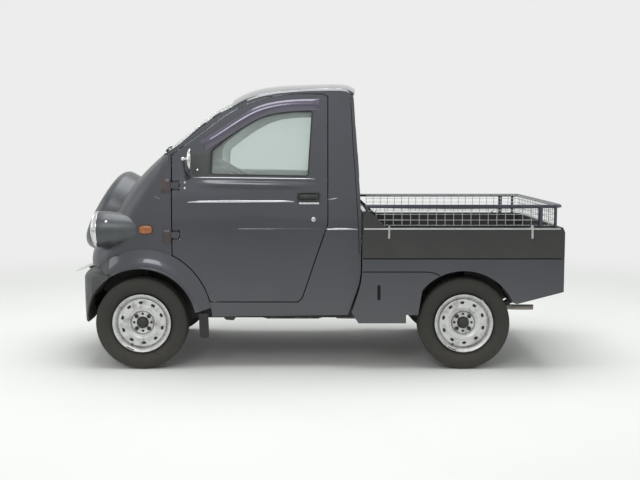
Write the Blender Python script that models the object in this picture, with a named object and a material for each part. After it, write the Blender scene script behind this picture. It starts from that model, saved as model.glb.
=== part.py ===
# A small cab-over truck: rounded two-seat cab, flat bed with a galvanised
# mesh rack, spare wheel carried in a smooth cover on the nose.
# Metres. The front faces -X, the side with the passenger's seat faces -Y, +Z is up.
import math

import bmesh
import bpy
from mathutils import Matrix, Vector

# Whole vehicle
WHEELBASE = 1.840
NOSE_REACH = 0.480          # number plate's tip ahead of the front axle
TAIL_REACH = 0.560          # bed's end behind the rear axle
ROOF_HEIGHT = 1.645
CAB_HALF_WIDTH = 0.603
BED_HALF_WIDTH = 0.645
FIT = 0.0003                # pieces bolted or bonded face to face
PLAY = 0.006                # between a moving piece and what is round it
JOINT = 0.0009              # open seam between the flare and the panels round it
RING_SEGMENTS = 60
OVERRUN = 0.05              # how far a cutting shape runs past what it cuts

FRONT_AXLE_X = (NOSE_REACH - WHEELBASE - TAIL_REACH) / 2
REAR_AXLE_X = FRONT_AXLE_X + WHEELBASE
BED_END_X = REAR_AXLE_X + TAIL_REACH

# Cab walls
SIDE_WALL = 0.045
NOSE_WALL = 0.028
ROOF_WALL = 0.014
REAR_WALL = 0.030
GLASS = 0.005
DOOR_WALL = 0.045

# Height as a share of the roof, half width as a share of the cab's
SIDE_SHARES = ((0.100, 0.968), (0.236, 0.992), (0.490, 1.000), (0.584, 0.995),
               (0.669, 0.968), (0.950, 0.909), (1.100, 0.870))
# Side outlines: shares of the wheelbase behind the front axle, of the roof's height
DOOR_SHARES = ((0.485, 0.236), (0.497, 0.250), (0.533, 0.368), (0.564, 0.467),
               (0.576, 0.509), (0.576, 0.939), (0.568, 0.948), (0.495, 0.950),
               (0.399, 0.939), (0.315, 0.906), (0.261, 0.874), (0.215, 0.836),
               (0.155, 0.788), (0.107, 0.749), (0.099, 0.739))
WINDOW_SHARES = ((0.221, 0.758), (0.218, 0.677), (0.516, 0.671), (0.529, 0.891),
                 (0.476, 0.891), (0.414, 0.883), (0.370, 0.869), (0.319, 0.838),
                 (0.268, 0.800))
CAB_REAR_SHARES = ((0.652, 0.946), (0.657, 0.936), (0.663, 0.824), (0.670, 0.720),
                   (0.677, 0.608), (0.680, 0.509), (0.680, 0.346), (0.674, 0.297),
                   (0.659, 0.246), (0.640, 0.188), (0.214, 0.182))
PILLAR_SHARES = ((0.126, 0.781), (0.190, 0.838), (0.254, 0.889))
PILLAR_FOOT_SHARE = 0.082
DOOR_FRONT_SHARE = 0.0985

# Nose levels: height, centre line behind the axle, squareness of the plan curve
NOSE_SHARES = ((0.350, -0.188, 4.0), (0.404, -0.182, 4.0), (0.554, -0.098, 3.6),
               (0.653, -0.041, 2.8), (0.743, 0.046, 2.2))
NOSE_WIDTH_SHARES = (0, 0.30, 0.55, 0.72, 0.84, 0.92, 0.97, 0.995, 1)

# Roof sections: centre line place and height, then edge place and height
ROOF_SHARES = ((0.276, 0.944, 0.284, 0.907), (0.323, 0.971, 0.326, 0.933),
               (0.399, 0.990, 0.402, 0.956), (0.489, 0.996, 0.489, 0.967),
               (0.571, 0.999, 0.570, 0.969), (0.640, 0.997, 0.633, 0.967),
               (0.668, 0.982, 0.658, 0.954))
ROOF_WIDTH_SHARES = (0, 0.25, 0.50, 0.70, 0.85, 0.94, 1)
ROOF_CROWN = 2.4
# Windscreen rows between cowl and roof, the same columns
SCREEN_SHARES = ((0.087, 0.791, 0.121, 0.779), (0.158, 0.852, 0.178, 0.834),
                 (0.227, 0.909, 0.241, 0.885))

# Wheels
TYRE_RADIUS = 0.263
TYRE_WIDTH = 0.144
RIM_RADIUS = 0.167
HALF_TRACK = 0.555
# Tyre section: distance out from its middle as a share of half the width,
# height from rim to tread as a share
TYRE_SHARES = ((0.62, 0.00), (0.90, 0.20), (1.00, 0.52), (0.93, 0.84),
               (0.70, 1.00))
VENTS = 10
HUB_RADIUS = 0.033

# Wheel arches
ARCH_RADIUS = 0.316
FLARE_SHIFT = 0.015
FLARE_HALF_LENGTH = 0.388
FLARE_RISE = 0.425
FLARE_REACH = 0.040
FLARE_WALL = 0.010
FLARE_FRONT = 0.185
FLARE_FOOT = 12             # degrees above the axle at its rear end
WHEELHOUSE_WALL = 0.008
WHEELHOUSE_INNER = 0.335

# Steering
KINGPIN_TOP = (0.403, 0.600)
KINGPIN_FOOT = (0.520, 0.160)
STRUT_RADIUS = 0.021

# Chassis
RAIL_IN = 0.255
RAIL_OUT = 0.315
RAIL_DEPTH = 0.075
RAIL_LOW = 0.245
RAIL_HIGH = 0.420


def colour(code):
    """Turns a colour as seen on screen into a linear one."""
    parts = [int(code[i:i + 2], 16) / 255 for i in (0, 2, 4)]
    return [p / 12.92 if p <= 0.04045 else ((p + 0.055) / 1.055) ** 2.4 for p in parts]


FINISHES = {  # colour, roughness, metallic
    "paint": ("4d5058", 0.30, 0.5),
    "black_plastic": ("3a3a3b", 0.55, 0.0),
    "black_board": ("343436", 0.50, 0.1),
    "pod": ("36393d", 0.18, 0.2),
    "glass": ("b9cbc4", 0.05, 0.0),
    "tyre": ("2e2e2c", 0.85, 0.0),
    "rim": ("b4b6b6", 0.35, 0.9),
    "chassis": ("2a2a2b", 0.60, 0.3),
    "galvanised": ("b9bcba", 0.45, 0.9),
    "seat": ("3d3f43", 0.85, 0.0),
    "trim": ("4b4d4f", 0.70, 0.0),
    "cast": ("77787a", 0.55, 0.8),
    "chrome": ("d5d6d6", 0.12, 1.0),
    "red_lens": ("a51d18", 0.15, 0.0),
    "plate": ("d9dcd8", 0.40, 0.2),
}


def material(name, finish):
    code, rough, metal = FINISHES[finish]
    made = bpy.data.materials.new(name)
    made.use_nodes = True
    shader = made.node_tree.nodes["Principled BSDF"]
    shader.inputs["Base Color"].default_value = (*colour(code), 1)
    shader.inputs["Roughness"].default_value = rough
    shader.inputs["Metallic"].default_value = metal
    return made


def add(name, bm, finish, smooth=None):
    """Makes a named object from a finished bmesh."""
    bmesh.ops.recalc_face_normals(bm, faces=bm.faces[:])
    if bm.calc_volume(signed=True) < 0:
        bmesh.ops.reverse_faces(bm, faces=bm.faces[:])
    mesh = bpy.data.meshes.new(name)
    bm.to_mesh(mesh)
    bm.free()
    made = bpy.data.objects.new(name, mesh)
    bpy.context.scene.collection.objects.link(made)
    mesh.materials.append(material(name, finish))
    if smooth:
        mesh.polygons.foreach_set("use_smooth", [True] * len(mesh.polygons))
        mesh.set_sharp_from_angle(angle=math.radians(smooth))
    return made


def flat_faced(made):
    """Splits bent faces, so that cuts run cleanly."""
    bm = bmesh.new()
    bm.from_mesh(made.data)
    bmesh.ops.triangulate(bm, faces=bm.faces[:])
    bm.to_mesh(made.data)
    bm.free()


def boolean(target, other, kind):
    """Applies one Boolean and drops the other object."""
    flat_faced(target)
    flat_faced(other)
    step = target.modifiers.new(kind, "BOOLEAN")
    step.operation = kind
    step.object = other
    graph = bpy.context.evaluated_depsgraph_get()
    mesh = bpy.data.meshes.new_from_object(target.evaluated_get(graph))
    target.modifiers.clear()
    target.data = mesh
    bpy.data.objects.remove(other)


def cut(target, *others):
    for other in others:
        boolean(target, other, "DIFFERENCE")


def fuse(target, *others):
    for other in others:
        boolean(target, other, "UNION")


def pivot(made, point):
    """Puts an object's origin on its joint's axis."""
    made.data.transform(Matrix.Translation(-Vector(point)))
    made.location = point


def spot(along_share, height_share):
    return (FRONT_AXLE_X + along_share * WHEELBASE, height_share * ROOF_HEIGHT)


def level(table, value, column=1):
    """Reads a column of a table between its rows."""
    for low, high in zip(table, table[1:]):
        if value <= high[0] or high is table[-1]:
            part = (value - low[0]) / (high[0] - low[0])
            return low[column] + part * (high[column] - low[column])


def side_y(z):
    return level(SIDE_SHARES, z / ROOF_HEIGHT) * CAB_HALF_WIDTH


def shell(outer, inner, cyclic=False, holes=()):
    """Closes two matching grids of points into one wall, open at the holes."""
    bm = bmesh.new()
    rows, columns = len(outer), len(outer[0])
    skins = [[[bm.verts.new(p) for p in row] for row in grid] for grid in (outer, inner)]
    wide = columns if cyclic else columns - 1
    kept = {(r, c) for r in range(rows - 1) for c in range(wide)} - set(holes)
    for r, c in kept:
        d = (c + 1) % columns
        front = [skins[0][r][c], skins[0][r][d], skins[0][r + 1][d], skins[0][r + 1][c]]
        back = [skins[1][r][c], skins[1][r][d], skins[1][r + 1][d], skins[1][r + 1][c]]
        bm.faces.new(front)
        bm.faces.new(back[::-1])
        beside = ((r - 1, c), (r, (c + 1) % wide if cyclic else c + 1),
                  (r + 1, c), (r, (c - 1) % wide if cyclic else c - 1))
        for k, cell in enumerate(beside):
            if cell not in kept:
                n = (k + 1) % 4
                bm.faces.new((front[n], front[k], back[k], back[n]))
    return bm


def loft(sections):
    """Joins closed sections of equal count, with flat ends."""
    bm = bmesh.new()
    loops = [[bm.verts.new(p) for p in section] for section in sections]
    for low, high in zip(loops, loops[1:]):
        for k in range(len(low)):
            bm.faces.new((low[k - 1], low[k], high[k], high[k - 1]))
    bm.faces.new(loops[0][::-1])
    bm.faces.new(loops[-1])
    return bm


def panel(outline, place, holes=(), cuts=()):
    """Fills an outline, gives it two skins and lays each point with place(a, b, skin).

    A cut is an axis number and the places where the surface bends."""
    bm = bmesh.new()
    edges = []
    for points in (outline, *holes):
        verts = [bm.verts.new((a, b, 0)) for a, b in points]
        edges += [bm.edges.new((verts[k - 1], verts[k])) for k in range(len(verts))]
    bmesh.ops.triangle_fill(bm, use_beauty=True, edges=edges)
    raised = bmesh.ops.extrude_face_region(bm, geom=bm.faces[:])["geom"]
    for item in raised:
        if isinstance(item, bmesh.types.BMVert):
            item.co.z = 1
    for axis, places in cuts:
        normal = Vector((0, 0, 0))
        normal[axis] = 1
        for value in places:
            geom = bm.verts[:] + bm.edges[:] + bm.faces[:]
            bmesh.ops.bisect_plane(bm, geom=geom, plane_co=normal * value, plane_no=normal,
                                   dist=FIT / 2)
    for vert in bm.verts:
        vert.co = place(vert.co.x, vert.co.y, round(vert.co.z))
    return bm


def prism(outline, low, high, axis=1):
    """An outline in the two other axes, run straight along one axis."""
    def place(a, b, skin):
        point = [a, b]
        point.insert(axis, high if skin else low)
        return point
    return panel(outline, place)


def box(low, high):
    x0, y0, z0 = low
    x1, y1, z1 = high
    return prism(((x0, z0), (x1, z0), (x1, z1), (x0, z1)), y0, y1)


def bevelled(made, size, segments=1):
    step = made.modifiers.new("edges", "BEVEL")
    step.width = size
    step.segments = segments
    step.limit_method = "ANGLE"
    return made


def turned(profile, segments, closed=False):
    """Spins (along, radius) points about the X axis; closed for a ring."""
    bm = bmesh.new()
    verts = [bm.verts.new((a, 0, r)) for a, r in profile]
    pairs = list(zip(verts, verts[1:])) + ([(verts[-1], verts[0])] if closed else [])
    edges = [bm.edges.new(pair) for pair in pairs]
    bmesh.ops.spin(bm, geom=verts + edges, axis=(1, 0, 0), cent=(0, 0, 0),
                   angle=math.tau, steps=segments, use_merge=True)
    bmesh.ops.remove_doubles(bm, verts=bm.verts[:], dist=FIT / 10)
    return bm


def laid(bm, point, direction):
    """Moves a turned shape to a point, its X axis along a direction."""
    turn = Vector((1, 0, 0)).rotation_difference(Vector(direction)).to_matrix().to_4x4()
    bm.transform(Matrix.Translation(point) @ turn)
    return bm


def rod(start, end, radius, segments=10):
    start, end = Vector(start), Vector(end)
    length = (end - start).length
    profile = ((0, 0), (0, radius), (length, radius), (length, 0))
    return laid(turned(profile, segments), start, end - start)


def tube(points, radius, segments=8):
    """A round bar along a route, mitred at its corners."""
    points = [Vector(p) for p in points]
    sections = []
    across = None
    for k, point in enumerate(points):
        before = (point - points[max(k - 1, 0)]).normalized()
        after = (points[min(k + 1, len(points) - 1)] - point).normalized()
        along = (before + after).normalized()
        if across is None:
            across = along.orthogonal().normalized()
        across = (across - along * across.dot(along)).normalized()
        third = along.cross(across)
        spread = 1 / max(0.5, along.dot(after if after.length else before))
        bend = (after - before) if k not in (0, len(points) - 1) else Vector()
        bend = bend.normalized() if bend.length else across
        ring = []
        for s in range(segments):
            angle = math.tau * s / segments
            offset = across * math.cos(angle) + third * math.sin(angle)
            offset += bend * offset.dot(bend) * (spread - 1)
            ring.append(point + offset * radius)
        sections.append(ring)
    return loft(sections)


def flipped(points, side):
    return [(x, side * y, z) for x, y, z in points]


def rounded_route(points, radius, steps=3):
    """Replaces each inner corner of a route by a short arc."""
    points = [Vector(p) for p in points]
    made = [points[0]]
    for before, corner, after in zip(points, points[1:], points[2:]):
        start = corner + (before - corner).normalized() * radius
        end = corner + (after - corner).normalized() * radius
        for s in range(steps + 1):
            t = s / steps
            made.append(start.lerp(corner, t).lerp(corner.lerp(end, t), t))
    return made + [points[-1]]


def grown(points, distance):
    """Moves each side of a closed outline outwards by a distance."""
    area = sum(p[0] * q[1] - q[0] * p[1] for p, q in zip(points, points[1:] + points[:1]))
    turn = 1 if area > 0 else -1
    made = []
    for k, point in enumerate(points):
        before, after = Vector(points[k - 1]), Vector(points[(k + 1) % len(points)])
        here = Vector(point)
        first, second = (here - before).normalized(), (after - here).normalized()
        n1 = Vector((first.y, -first.x)) * turn
        n2 = Vector((second.y, -second.x)) * turn
        made.append(tuple(here + (n1 + n2) * distance / (1 + n1.dot(n2))))
    return made


# Shared outlines of the cab's side

def flare_line(angle, growth=0.0):
    """A point of the front flare's outer edge, an ellipse over the front wheel."""
    return (FRONT_AXLE_X + FLARE_SHIFT + (FLARE_HALF_LENGTH + growth) * math.cos(angle),
            TYRE_RADIUS + (FLARE_RISE + growth) * math.sin(angle))


def flare_arc(low, high, growth, steps):
    """Points of the flare's outer edge from height low to the place across high."""
    start = math.asin((low - TYRE_RADIUS) / (FLARE_RISE + growth))
    end = math.acos((high - FRONT_AXLE_X - FLARE_SHIFT) / (FLARE_HALF_LENGTH + growth))
    return [flare_line(start + (end - start) * k / steps, growth) for k in range(steps + 1)]


SEAM_X = FRONT_AXLE_X + DOOR_FRONT_SHARE * WHEELBASE
DOOR_SILL_Z = DOOR_SHARES[0][1] * ROOF_HEIGHT


def door_outline():
    points = [spot(*share) for share in DOOR_SHARES]
    arc = flare_arc(DOOR_SILL_Z, SEAM_X, PLAY, FLARE_STEPS)
    return points + arc[::-1]


def ring_outline():
    """The cab side round the door, open towards the nose."""
    inner = grown(door_outline(), PLAY)
    count = len(DOOR_SHARES)
    inner = [p for p in inner[:count]]
    foot = (FRONT_AXLE_X + PILLAR_FOOT_SHARE * WHEELBASE, NOSE_TOP + FIT)
    inner[-1] = (SEAM_X - PLAY, NOSE_TOP + FIT)
    inner[0] = (inner[0][0], DOOR_SILL_Z - PLAY)
    rear = [spot(*share) for share in CAB_REAR_SHARES]
    sill = flare_arc(rear[-1][1] + 2 * PLAY, SEAM_X, JOINT, FLARE_STEPS)
    sill = [p for p in sill if p[1] < DOOR_SILL_Z - 2 * PLAY]
    sill += flare_arc(DOOR_SILL_Z - PLAY, SEAM_X, JOINT, 1)[:1]
    pillar = [spot(*share) for share in PILLAR_SHARES]
    edge = [spot(*share[2:]) for share in ROOF_SHARES[:-1]]
    under = [(x, z - ROOF_WALL - FIT) for x, z in edge]
    tip = under[0][0] - 2 * PLAY
    pillar += [(tip, edge[0][1] - PLAY), (tip, under[0][1])] + under
    rear[-1] = (sill[0][0], rear[-1][1])
    return [foot] + pillar + rear + sill + inner


def on_side(side, depth, wall):
    """Lays an XZ outline on the cab's side."""
    def place(x, z, skin):
        return (x, side * (side_y(z) - depth - wall * skin), z)
    return place


# Two hinges a door: a lug on the nose's edge between two pins of the door
HINGE_HEIGHTS = (0.770, 1.050)
HINGE_BACK = 0.030          # axis behind the seam
HINGE_DEPTH = 0.008         # axis inside the skin
HINGE_ROOM = 0.012          # above and below a lug
LUG_HALF = 0.008
LUG_HIGH = 0.034
HINGE_PIN = 0.005

SIDE_BENDS = (1, [share[0] * ROOF_HEIGHT for share in SIDE_SHARES[1:6]])
NOSE_TOP = NOSE_SHARES[-1][0] * ROOF_HEIGHT
NOSE_FOOT = NOSE_SHARES[0][0] * ROOF_HEIGHT
NOSE_REAR_X = SEAM_X - PLAY


def nose_row(z, inset):
    """Half a plan section of the nose, from its centre to the door's seam."""
    for low, high in zip(NOSE_SHARES, NOSE_SHARES[1:]):
        if z <= high[0] * ROOF_HEIGHT + FIT:
            break
    part = (z / ROOF_HEIGHT - low[0]) / (high[0] - low[0])
    rows = [nose_section(*share, inset) for share in (low, high)]
    return [tuple(Vector(p).lerp(q, part)) for p, q in zip(*rows)]


def nose_section(height, place, power, inset):
    z = height * ROOF_HEIGHT
    length = NOSE_REAR_X - FRONT_AXLE_X - place * WHEELBASE - inset
    wide = side_y(z) - inset
    return [(NOSE_REAR_X - length * (1 - w ** power) ** (1 / power), w * wide, z)
            for w in NOSE_WIDTH_SHARES]


def both_sides(row):
    return flipped(row[:0:-1], -1) + list(row)


def nose_envelope(growth):
    """The whole nose as a solid block, for cutting what is fixed on it."""
    sections = []
    for share in NOSE_SHARES:
        row = both_sides(nose_row(share[0] * ROOF_HEIGHT, -growth))
        first, last = row[0], row[-1]
        back = NOSE_REAR_X + OVERRUN
        sections.append([(back, first[1], first[2])] + row + [(back, last[1], last[2])])
    return add("envelope", loft(sections), "paint")


def flare_cutter(growth):
    ring = [flare_line(math.tau * k / RING_SEGMENTS, growth) for k in range(RING_SEGMENTS)]
    wide = BED_HALF_WIDTH + OVERRUN
    return add("arch", prism(ring, -wide, wide), "paint")


def nose():
    heights = [share[0] * ROOF_HEIGHT for share in NOSE_SHARES]
    outer = [both_sides(nose_row(z, 0)) for z in heights]
    inner = [both_sides(nose_row(z, NOSE_WALL)) for z in heights]
    made = add("nose_panel", shell(outer, inner), "paint", 40)
    cut(made, flare_cutter(JOINT))
    for side in (-1, 1):
        for z in HINGE_HEIGHTS:
            fuse(made, add("lug", hinge_block(side, z, 0, NOSE_WALL, 0), "paint"))


def cab_sides():
    window = [spot(*share) for share in WINDOW_SHARES]
    for side, word in ((-1, "left"), (1, "right")):
        bm = panel(ring_outline(), on_side(side, 0, SIDE_WALL), cuts=[SIDE_BENDS])
        add("cab_side_" + word, bm, "paint", 30)
        bm = panel(door_outline(), on_side(side, 0, DOOR_WALL), [window], [SIDE_BENDS])
        door = add("door_" + word, bm, "paint", 30)
        for z in HINGE_HEIGHTS:
            hinge_seat(door, side, z)
        pivot(door, hinge_point(side, HINGE_HEIGHTS[0]))
        pane = panel(grown(window, -FIT), on_side(side, DOOR_WALL / 2, GLASS),
                     cuts=[SIDE_BENDS])
        glass = add("door_glass_" + word, pane, "glass", 30)
        pivot(glass, door.location)


def hinge_point(side, z):
    """Where the door's hinge axis crosses a hinge's height."""
    return Vector((SEAM_X + HINGE_BACK, side * (side_y(z) - HINGE_DEPTH), z))


def hinge_block(side, z, grow, ahead, out):
    """A block round the axis, reaching ahead of it and out of the side."""
    x, y, z = hinge_point(side, z)
    across = sorted((y - side * (LUG_HALF + grow), y + side * (LUG_HALF + grow + out)))
    high = LUG_HIGH / 2 + (HINGE_ROOM if grow else 0)
    return box((x - HINGE_BACK - ahead, across[0], z - high),
               (x + LUG_HALF + grow, across[1], z + high))


def hinge_seat(door, side, z):
    """Opens the door's edge round a hinge lug and gives it the two pins."""
    cut(door, add("slot", hinge_block(side, z, PLAY, OVERRUN, OVERRUN), "paint"))
    middle = hinge_point(side, z)
    lean = hinge_point(side, HINGE_HEIGHTS[1]) - hinge_point(side, HINGE_HEIGHTS[0])
    lean.normalize()
    for up in (-1, 1):
        start = middle + lean * up * (LUG_HIGH / 2 + 2 * FIT)
        end = middle + lean * up * (LUG_HIGH / 2 + 2 * HINGE_ROOM)
        fuse(door, add("pin", rod(start, end, HINGE_PIN, 6), "paint"))


def crowned(row, half_width, drop, shares, power):
    """A section from centre (x, z) to edge (x, z), falling away sideways."""
    centre_x, centre_z, edge_x, edge_z = row
    return [(centre_x + (edge_x - centre_x) * s ** power, s * half_width,
             centre_z + (edge_z - centre_z) * s ** power - drop) for s in shares]


def roof():
    outer, inner = [], []
    for cx, cz, ex, ez in ROOF_SHARES:
        row = (*spot(cx, cz), *spot(ex, ez))
        wide = side_y(row[3])
        outer.append(both_sides(crowned(row, wide, 0, ROOF_WIDTH_SHARES, ROOF_CROWN)))
        inner.append(both_sides(crowned(row, wide, ROOF_WALL, ROOF_WIDTH_SHARES, ROOF_CROWN)))
    add("roof_panel", shell(outer, inner), "paint", 40)


def windscreen():
    base = nose_row(NOSE_TOP, FIT)
    edge = side_y(NOSE_TOP) - SIDE_WALL - FIT
    power = NOSE_SHARES[-1][2]
    centre = base[0][0]
    edge_x = centre + (NOSE_REAR_X - centre) * (1 - (1 - (edge / side_y(NOSE_TOP)) ** power)
                                                ** (1 / power))
    low = NOSE_TOP + FIT
    rows = [(centre, low, edge_x, low)]
    rows += [(*spot(cx, cz), *spot(ex, ez)) for cx, cz, ex, ez in SCREEN_SHARES]
    cx, cz, ex, ez = ROOF_SHARES[0]
    top = [*spot(cx, cz), *spot(ex, ez)]
    wide_top = side_y(top[3]) - SIDE_WALL - FIT
    share = (wide_top / side_y(top[3])) ** ROOF_CROWN
    top = [top[0], top[1] - ROOF_WALL - JOINT, top[0] + (top[2] - top[0]) * share,
           top[1] + (top[3] - top[1]) * share - ROOF_WALL - JOINT]
    rows.append(top)
    outer = []
    for row in rows:
        wide = side_y(row[3]) - SIDE_WALL - FIT
        outer.append(both_sides(crowned(row, wide, 0, ROOF_WIDTH_SHARES, ROOF_CROWN)))
    inner = [[(x + 2 * GLASS, y, z) for x, y, z in row] for row in outer]
    add("windscreen", shell(outer, inner), "glass", 40)


# Rear wall of the cab, with its window
WALL_FOOT_Z = 0.600
REAR_WINDOW = (0.400, 1.080, 1.390)     # half width, low, high
REAR_WINDOW_CORNER = 0.040
WALL_TOP_SHARES = ((0.93, 0.944), (0.75, 0.958), (0.45, 0.966), (0, 0.970))


def rear_line(z):
    table = [(z_share, x_share) for x_share, z_share in CAB_REAR_SHARES[6:0:-1]]
    return FRONT_AXLE_X + level(table, z / ROOF_HEIGHT) * WHEELBASE


def on_rear(depth, wall):
    def place(y, z, skin):
        return (rear_line(z) - depth - wall * skin, y, z)
    return place


def chamfered(half_width, low, high, corner):
    return [(-half_width, low + corner), (-half_width + corner, low),
            (half_width - corner, low), (half_width, low + corner),
            (half_width, high - corner), (half_width - corner, high),
            (corner - half_width, high), (-half_width, high - corner)]


def rear_wall():
    knots = [share[0] * ROOF_HEIGHT for share in SIDE_SHARES[3:5]]
    gap = SIDE_WALL + FIT
    right = [(side_y(z) - gap, z) for z in [WALL_FOOT_Z] + knots]
    top_z = WALL_TOP_SHARES[0][1] * ROOF_HEIGHT
    right.append((side_y(top_z) - gap, top_z))
    right += [(y * side_y(top_z), z * ROOF_HEIGHT) for y, z in WALL_TOP_SHARES[1:]]
    left = [(-y, z) for y, z in right[-2::-1]]
    window = chamfered(*REAR_WINDOW, REAR_WINDOW_CORNER)
    bends = (1, [share[1] * ROOF_HEIGHT for share in CAB_REAR_SHARES[5:1:-1]])
    add("cab_rear_wall", panel(right + left, on_rear(FIT, REAR_WALL), [window], [bends]),
        "paint", 30)
    pane = panel(grown(window, -FIT), on_rear(REAR_WALL / 2, GLASS), cuts=[bends])
    add("rear_window", pane, "glass", 30)


# Cab floor, seat base and what stands on them
FLOOR_WALL = 0.020
FLOOR_Z = RAIL_LOW + RAIL_DEPTH + FLOOR_WALL + FIT
TOE_Z = 0.560
TOE_X, HEEL_X = 0.285, 0.235            # ahead of the front axle
FLOOR_WIDE_X = 0.345                    # behind it, where the floor widens
SEAT_BASE_X = 0.600
SEAT_BASE_Z = 0.600
SEAT_BASE_WALL = 0.012
TRAY_HALF = WHEELHOUSE_INNER - WHEELHOUSE_WALL - FIT


def cab_floor():
    wide = side_y(FLOOR_Z - FLOOR_WALL) - SIDE_WALL - FIT
    front, waist = FRONT_AXLE_X - TOE_X, FRONT_AXLE_X + FLOOR_WIDE_X
    heel, rear = FRONT_AXLE_X - HEEL_X, FRONT_AXLE_X + SEAT_BASE_X
    outline = [(front, -TRAY_HALF), (waist, -TRAY_HALF), (waist, -wide), (rear, -wide),
               (rear, wide), (waist, wide), (waist, TRAY_HALF), (front, TRAY_HALF)]

    def place(x, y, skin):
        rise = max(0, (heel - x) / (heel - front)) * (TOE_Z - FLOOR_Z)
        return (x + (FLOOR_WALL if skin and x < heel else 0), y,
                FLOOR_Z + rise - FLOOR_WALL * (1 - skin))
    add("cab_floor", panel(outline, place, cuts=[(0, [heel])]), "trim")
    wide -= PLAY
    x0, x1 = rear + FIT, rear_line(SEAT_BASE_Z) - REAR_WALL - 2 * FIT
    low = FLOOR_Z
    made = add("seat_base", box((x0, -wide, low), (x1, wide, SEAT_BASE_Z - FIT)), "trim")
    hollow = box((x0 + SEAT_BASE_WALL, SEAT_BASE_WALL - wide, low - OVERRUN),
                 (x1 - SEAT_BASE_WALL, wide - SEAT_BASE_WALL, SEAT_BASE_Z - SEAT_BASE_WALL))
    cut(made, add("hollow", hollow, "trim"))


# Seats: side outline as shares of the seat's length and of the seat's height
SEAT_FRONT_X = 0.640
SEAT_LENGTH = 0.550
SEAT_HEIGHT = 0.620
SEAT_WIDTH = 0.440
SEAT_PLACE_Y = 0.285
SEAT_SHARES = ((0.00, 0.00), (0.92, 0.00), (0.97, 0.40), (0.99, 0.96), (0.93, 1.00),
               (0.84, 0.96), (0.72, 0.30), (0.66, 0.20), (0.08, 0.24), (0.00, 0.16))


def seats():
    start = FRONT_AXLE_X + SEAT_FRONT_X
    outline = [(start + a * SEAT_LENGTH, SEAT_BASE_Z + b * SEAT_HEIGHT) for a, b in SEAT_SHARES]
    for side, word in ((-1, "left"), (1, "right")):
        middle = side * SEAT_PLACE_Y
        bm = prism(outline, middle - SEAT_WIDTH / 2, middle + SEAT_WIDTH / 2)
        bevelled(add("seat_" + word, bm, "seat", 40), SEAT_BEVEL, 2)


SEAT_BEVEL = 0.020

# Dashboard: level as a share of the roof, rear edge behind the front axle
DASH_SHARES = ((0.470, 0.150), (0.554, 0.235), (0.653, 0.240), (0.685, 0.200), (0.700, 0.130))
DASH_COLUMNS = 5            # of the nose's widths, counted from its centre
COLUMN_RADIUS = 0.0265
STEERING_HUB = (0.513, 0.280, 1.079)    # behind the axle, across, up
STEERING_SLOPE = 33                     # degrees of the wheel's plane from level
STEERING_RADIUS = 0.180
STEERING_GRIP = 0.012
STEERING_BOSS = (0.042, 0.030)          # radius, depth
SPOKE_RADIUS = 0.009


def steering_axis():
    angle = math.radians(STEERING_SLOPE)
    return Vector((math.sin(angle), 0, math.cos(angle)))


def dashboard():
    sections = []
    for height, rear in DASH_SHARES:
        z = height * ROOF_HEIGHT
        front = both_sides(nose_row(z, NOSE_WALL + 2 * PLAY)[:DASH_COLUMNS])
        back = FRONT_AXLE_X + rear * WHEELBASE
        sections.append(front + [(back, front[-1][1], z), (back, front[0][1], z)])
    made = add("dashboard", loft(sections), "trim", 40)
    hub = Vector((FRONT_AXLE_X + STEERING_HUB[0], *STEERING_HUB[1:]))
    axis = steering_axis()
    start = hub - axis * (STEERING_BOSS[1] + FIT)
    reach = (hub.z - FLOOR_Z - FIT - COLUMN_RADIUS * axis.x) / axis.z
    fuse(made, add("column", rod(start, hub - axis * reach, COLUMN_RADIUS), "trim"))
    profile = ((-STEERING_BOSS[1], 0), (-STEERING_BOSS[1], STEERING_BOSS[0]),
               (0, STEERING_BOSS[0]), (0, 0))
    wheel = add("steering_wheel", laid(turned(profile, 12), hub, axis), "black_plastic", 40)
    grip = [(STEERING_GRIP * math.cos(k * math.tau / 6),
             STEERING_RADIUS + STEERING_GRIP * math.sin(k * math.tau / 6)) for k in range(6)]
    rim = add("grip", laid(turned(grip, 20, True), hub, axis), "black_plastic")
    across = Vector((0, 1, 0))
    upright = axis.cross(across)
    middle = hub - axis * STEERING_BOSS[1] / 2
    spokes = []
    for angle in (0, 180, 90):
        turn = math.radians(angle)
        out = across * math.cos(turn) + upright * math.sin(turn)
        spokes.append(add("spoke", rod(middle, hub + out * STEERING_RADIUS, SPOKE_RADIUS, 6),
                          "black_plastic"))
    fuse(wheel, *spokes, rim)
    pivot(wheel, hub)


# Front flares and wheelhouses
def flare_turns(ahead):
    """Where the flare's lip and its outer edge cross a place ahead of the axle."""
    return (math.acos(-ahead / ARCH_RADIUS),
            math.acos((-ahead - FLARE_SHIFT) / FLARE_HALF_LENGTH))


def flare_shell(side, first, last, steps):
    """A length of the bulging lip over the front wheel, as one shell."""
    outer, inner = [], []
    for k in range(steps + 1):
        part = k / steps
        a = first[0] + (last[0] - first[0]) * part
        b = first[1] + (last[1] - first[1]) * part
        low = (FRONT_AXLE_X + ARCH_RADIUS * math.cos(a), TYRE_RADIUS + ARCH_RADIUS * math.sin(a))
        high = flare_line(b)
        skins = []
        for depth in (0, FLARE_WALL):
            row = []
            for across, bulge in FLARE_SECTION_SHARES:
                x = low[0] + (high[0] - low[0]) * across
                z = low[1] + (high[1] - low[1]) * across
                y = nose_side_y(x, z) + bulge * FLARE_REACH - depth
                row.append((x, side * y, z))
            skins.append(row)
        outer.append(skins[0])
        inner.append(skins[1])
    return shell(outer, inner)


def flare(side, word):
    """The flare from the sill to where the bumper carries it on."""
    foot = math.radians(FLARE_FOOT)
    bm = flare_shell(side, (foot, foot), flare_turns(FLARE_FRONT - FIT), FLARE_STEPS)
    add("front_fender_" + word, bm, "paint", 40)


FLARE_STEPS = 14
# Across the flare from lip to body, and how far it bulges
FLARE_SECTION_SHARES = ((0, 1.0), (0.30, 1.0), (0.62, 0.62), (1, 0))


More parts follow.
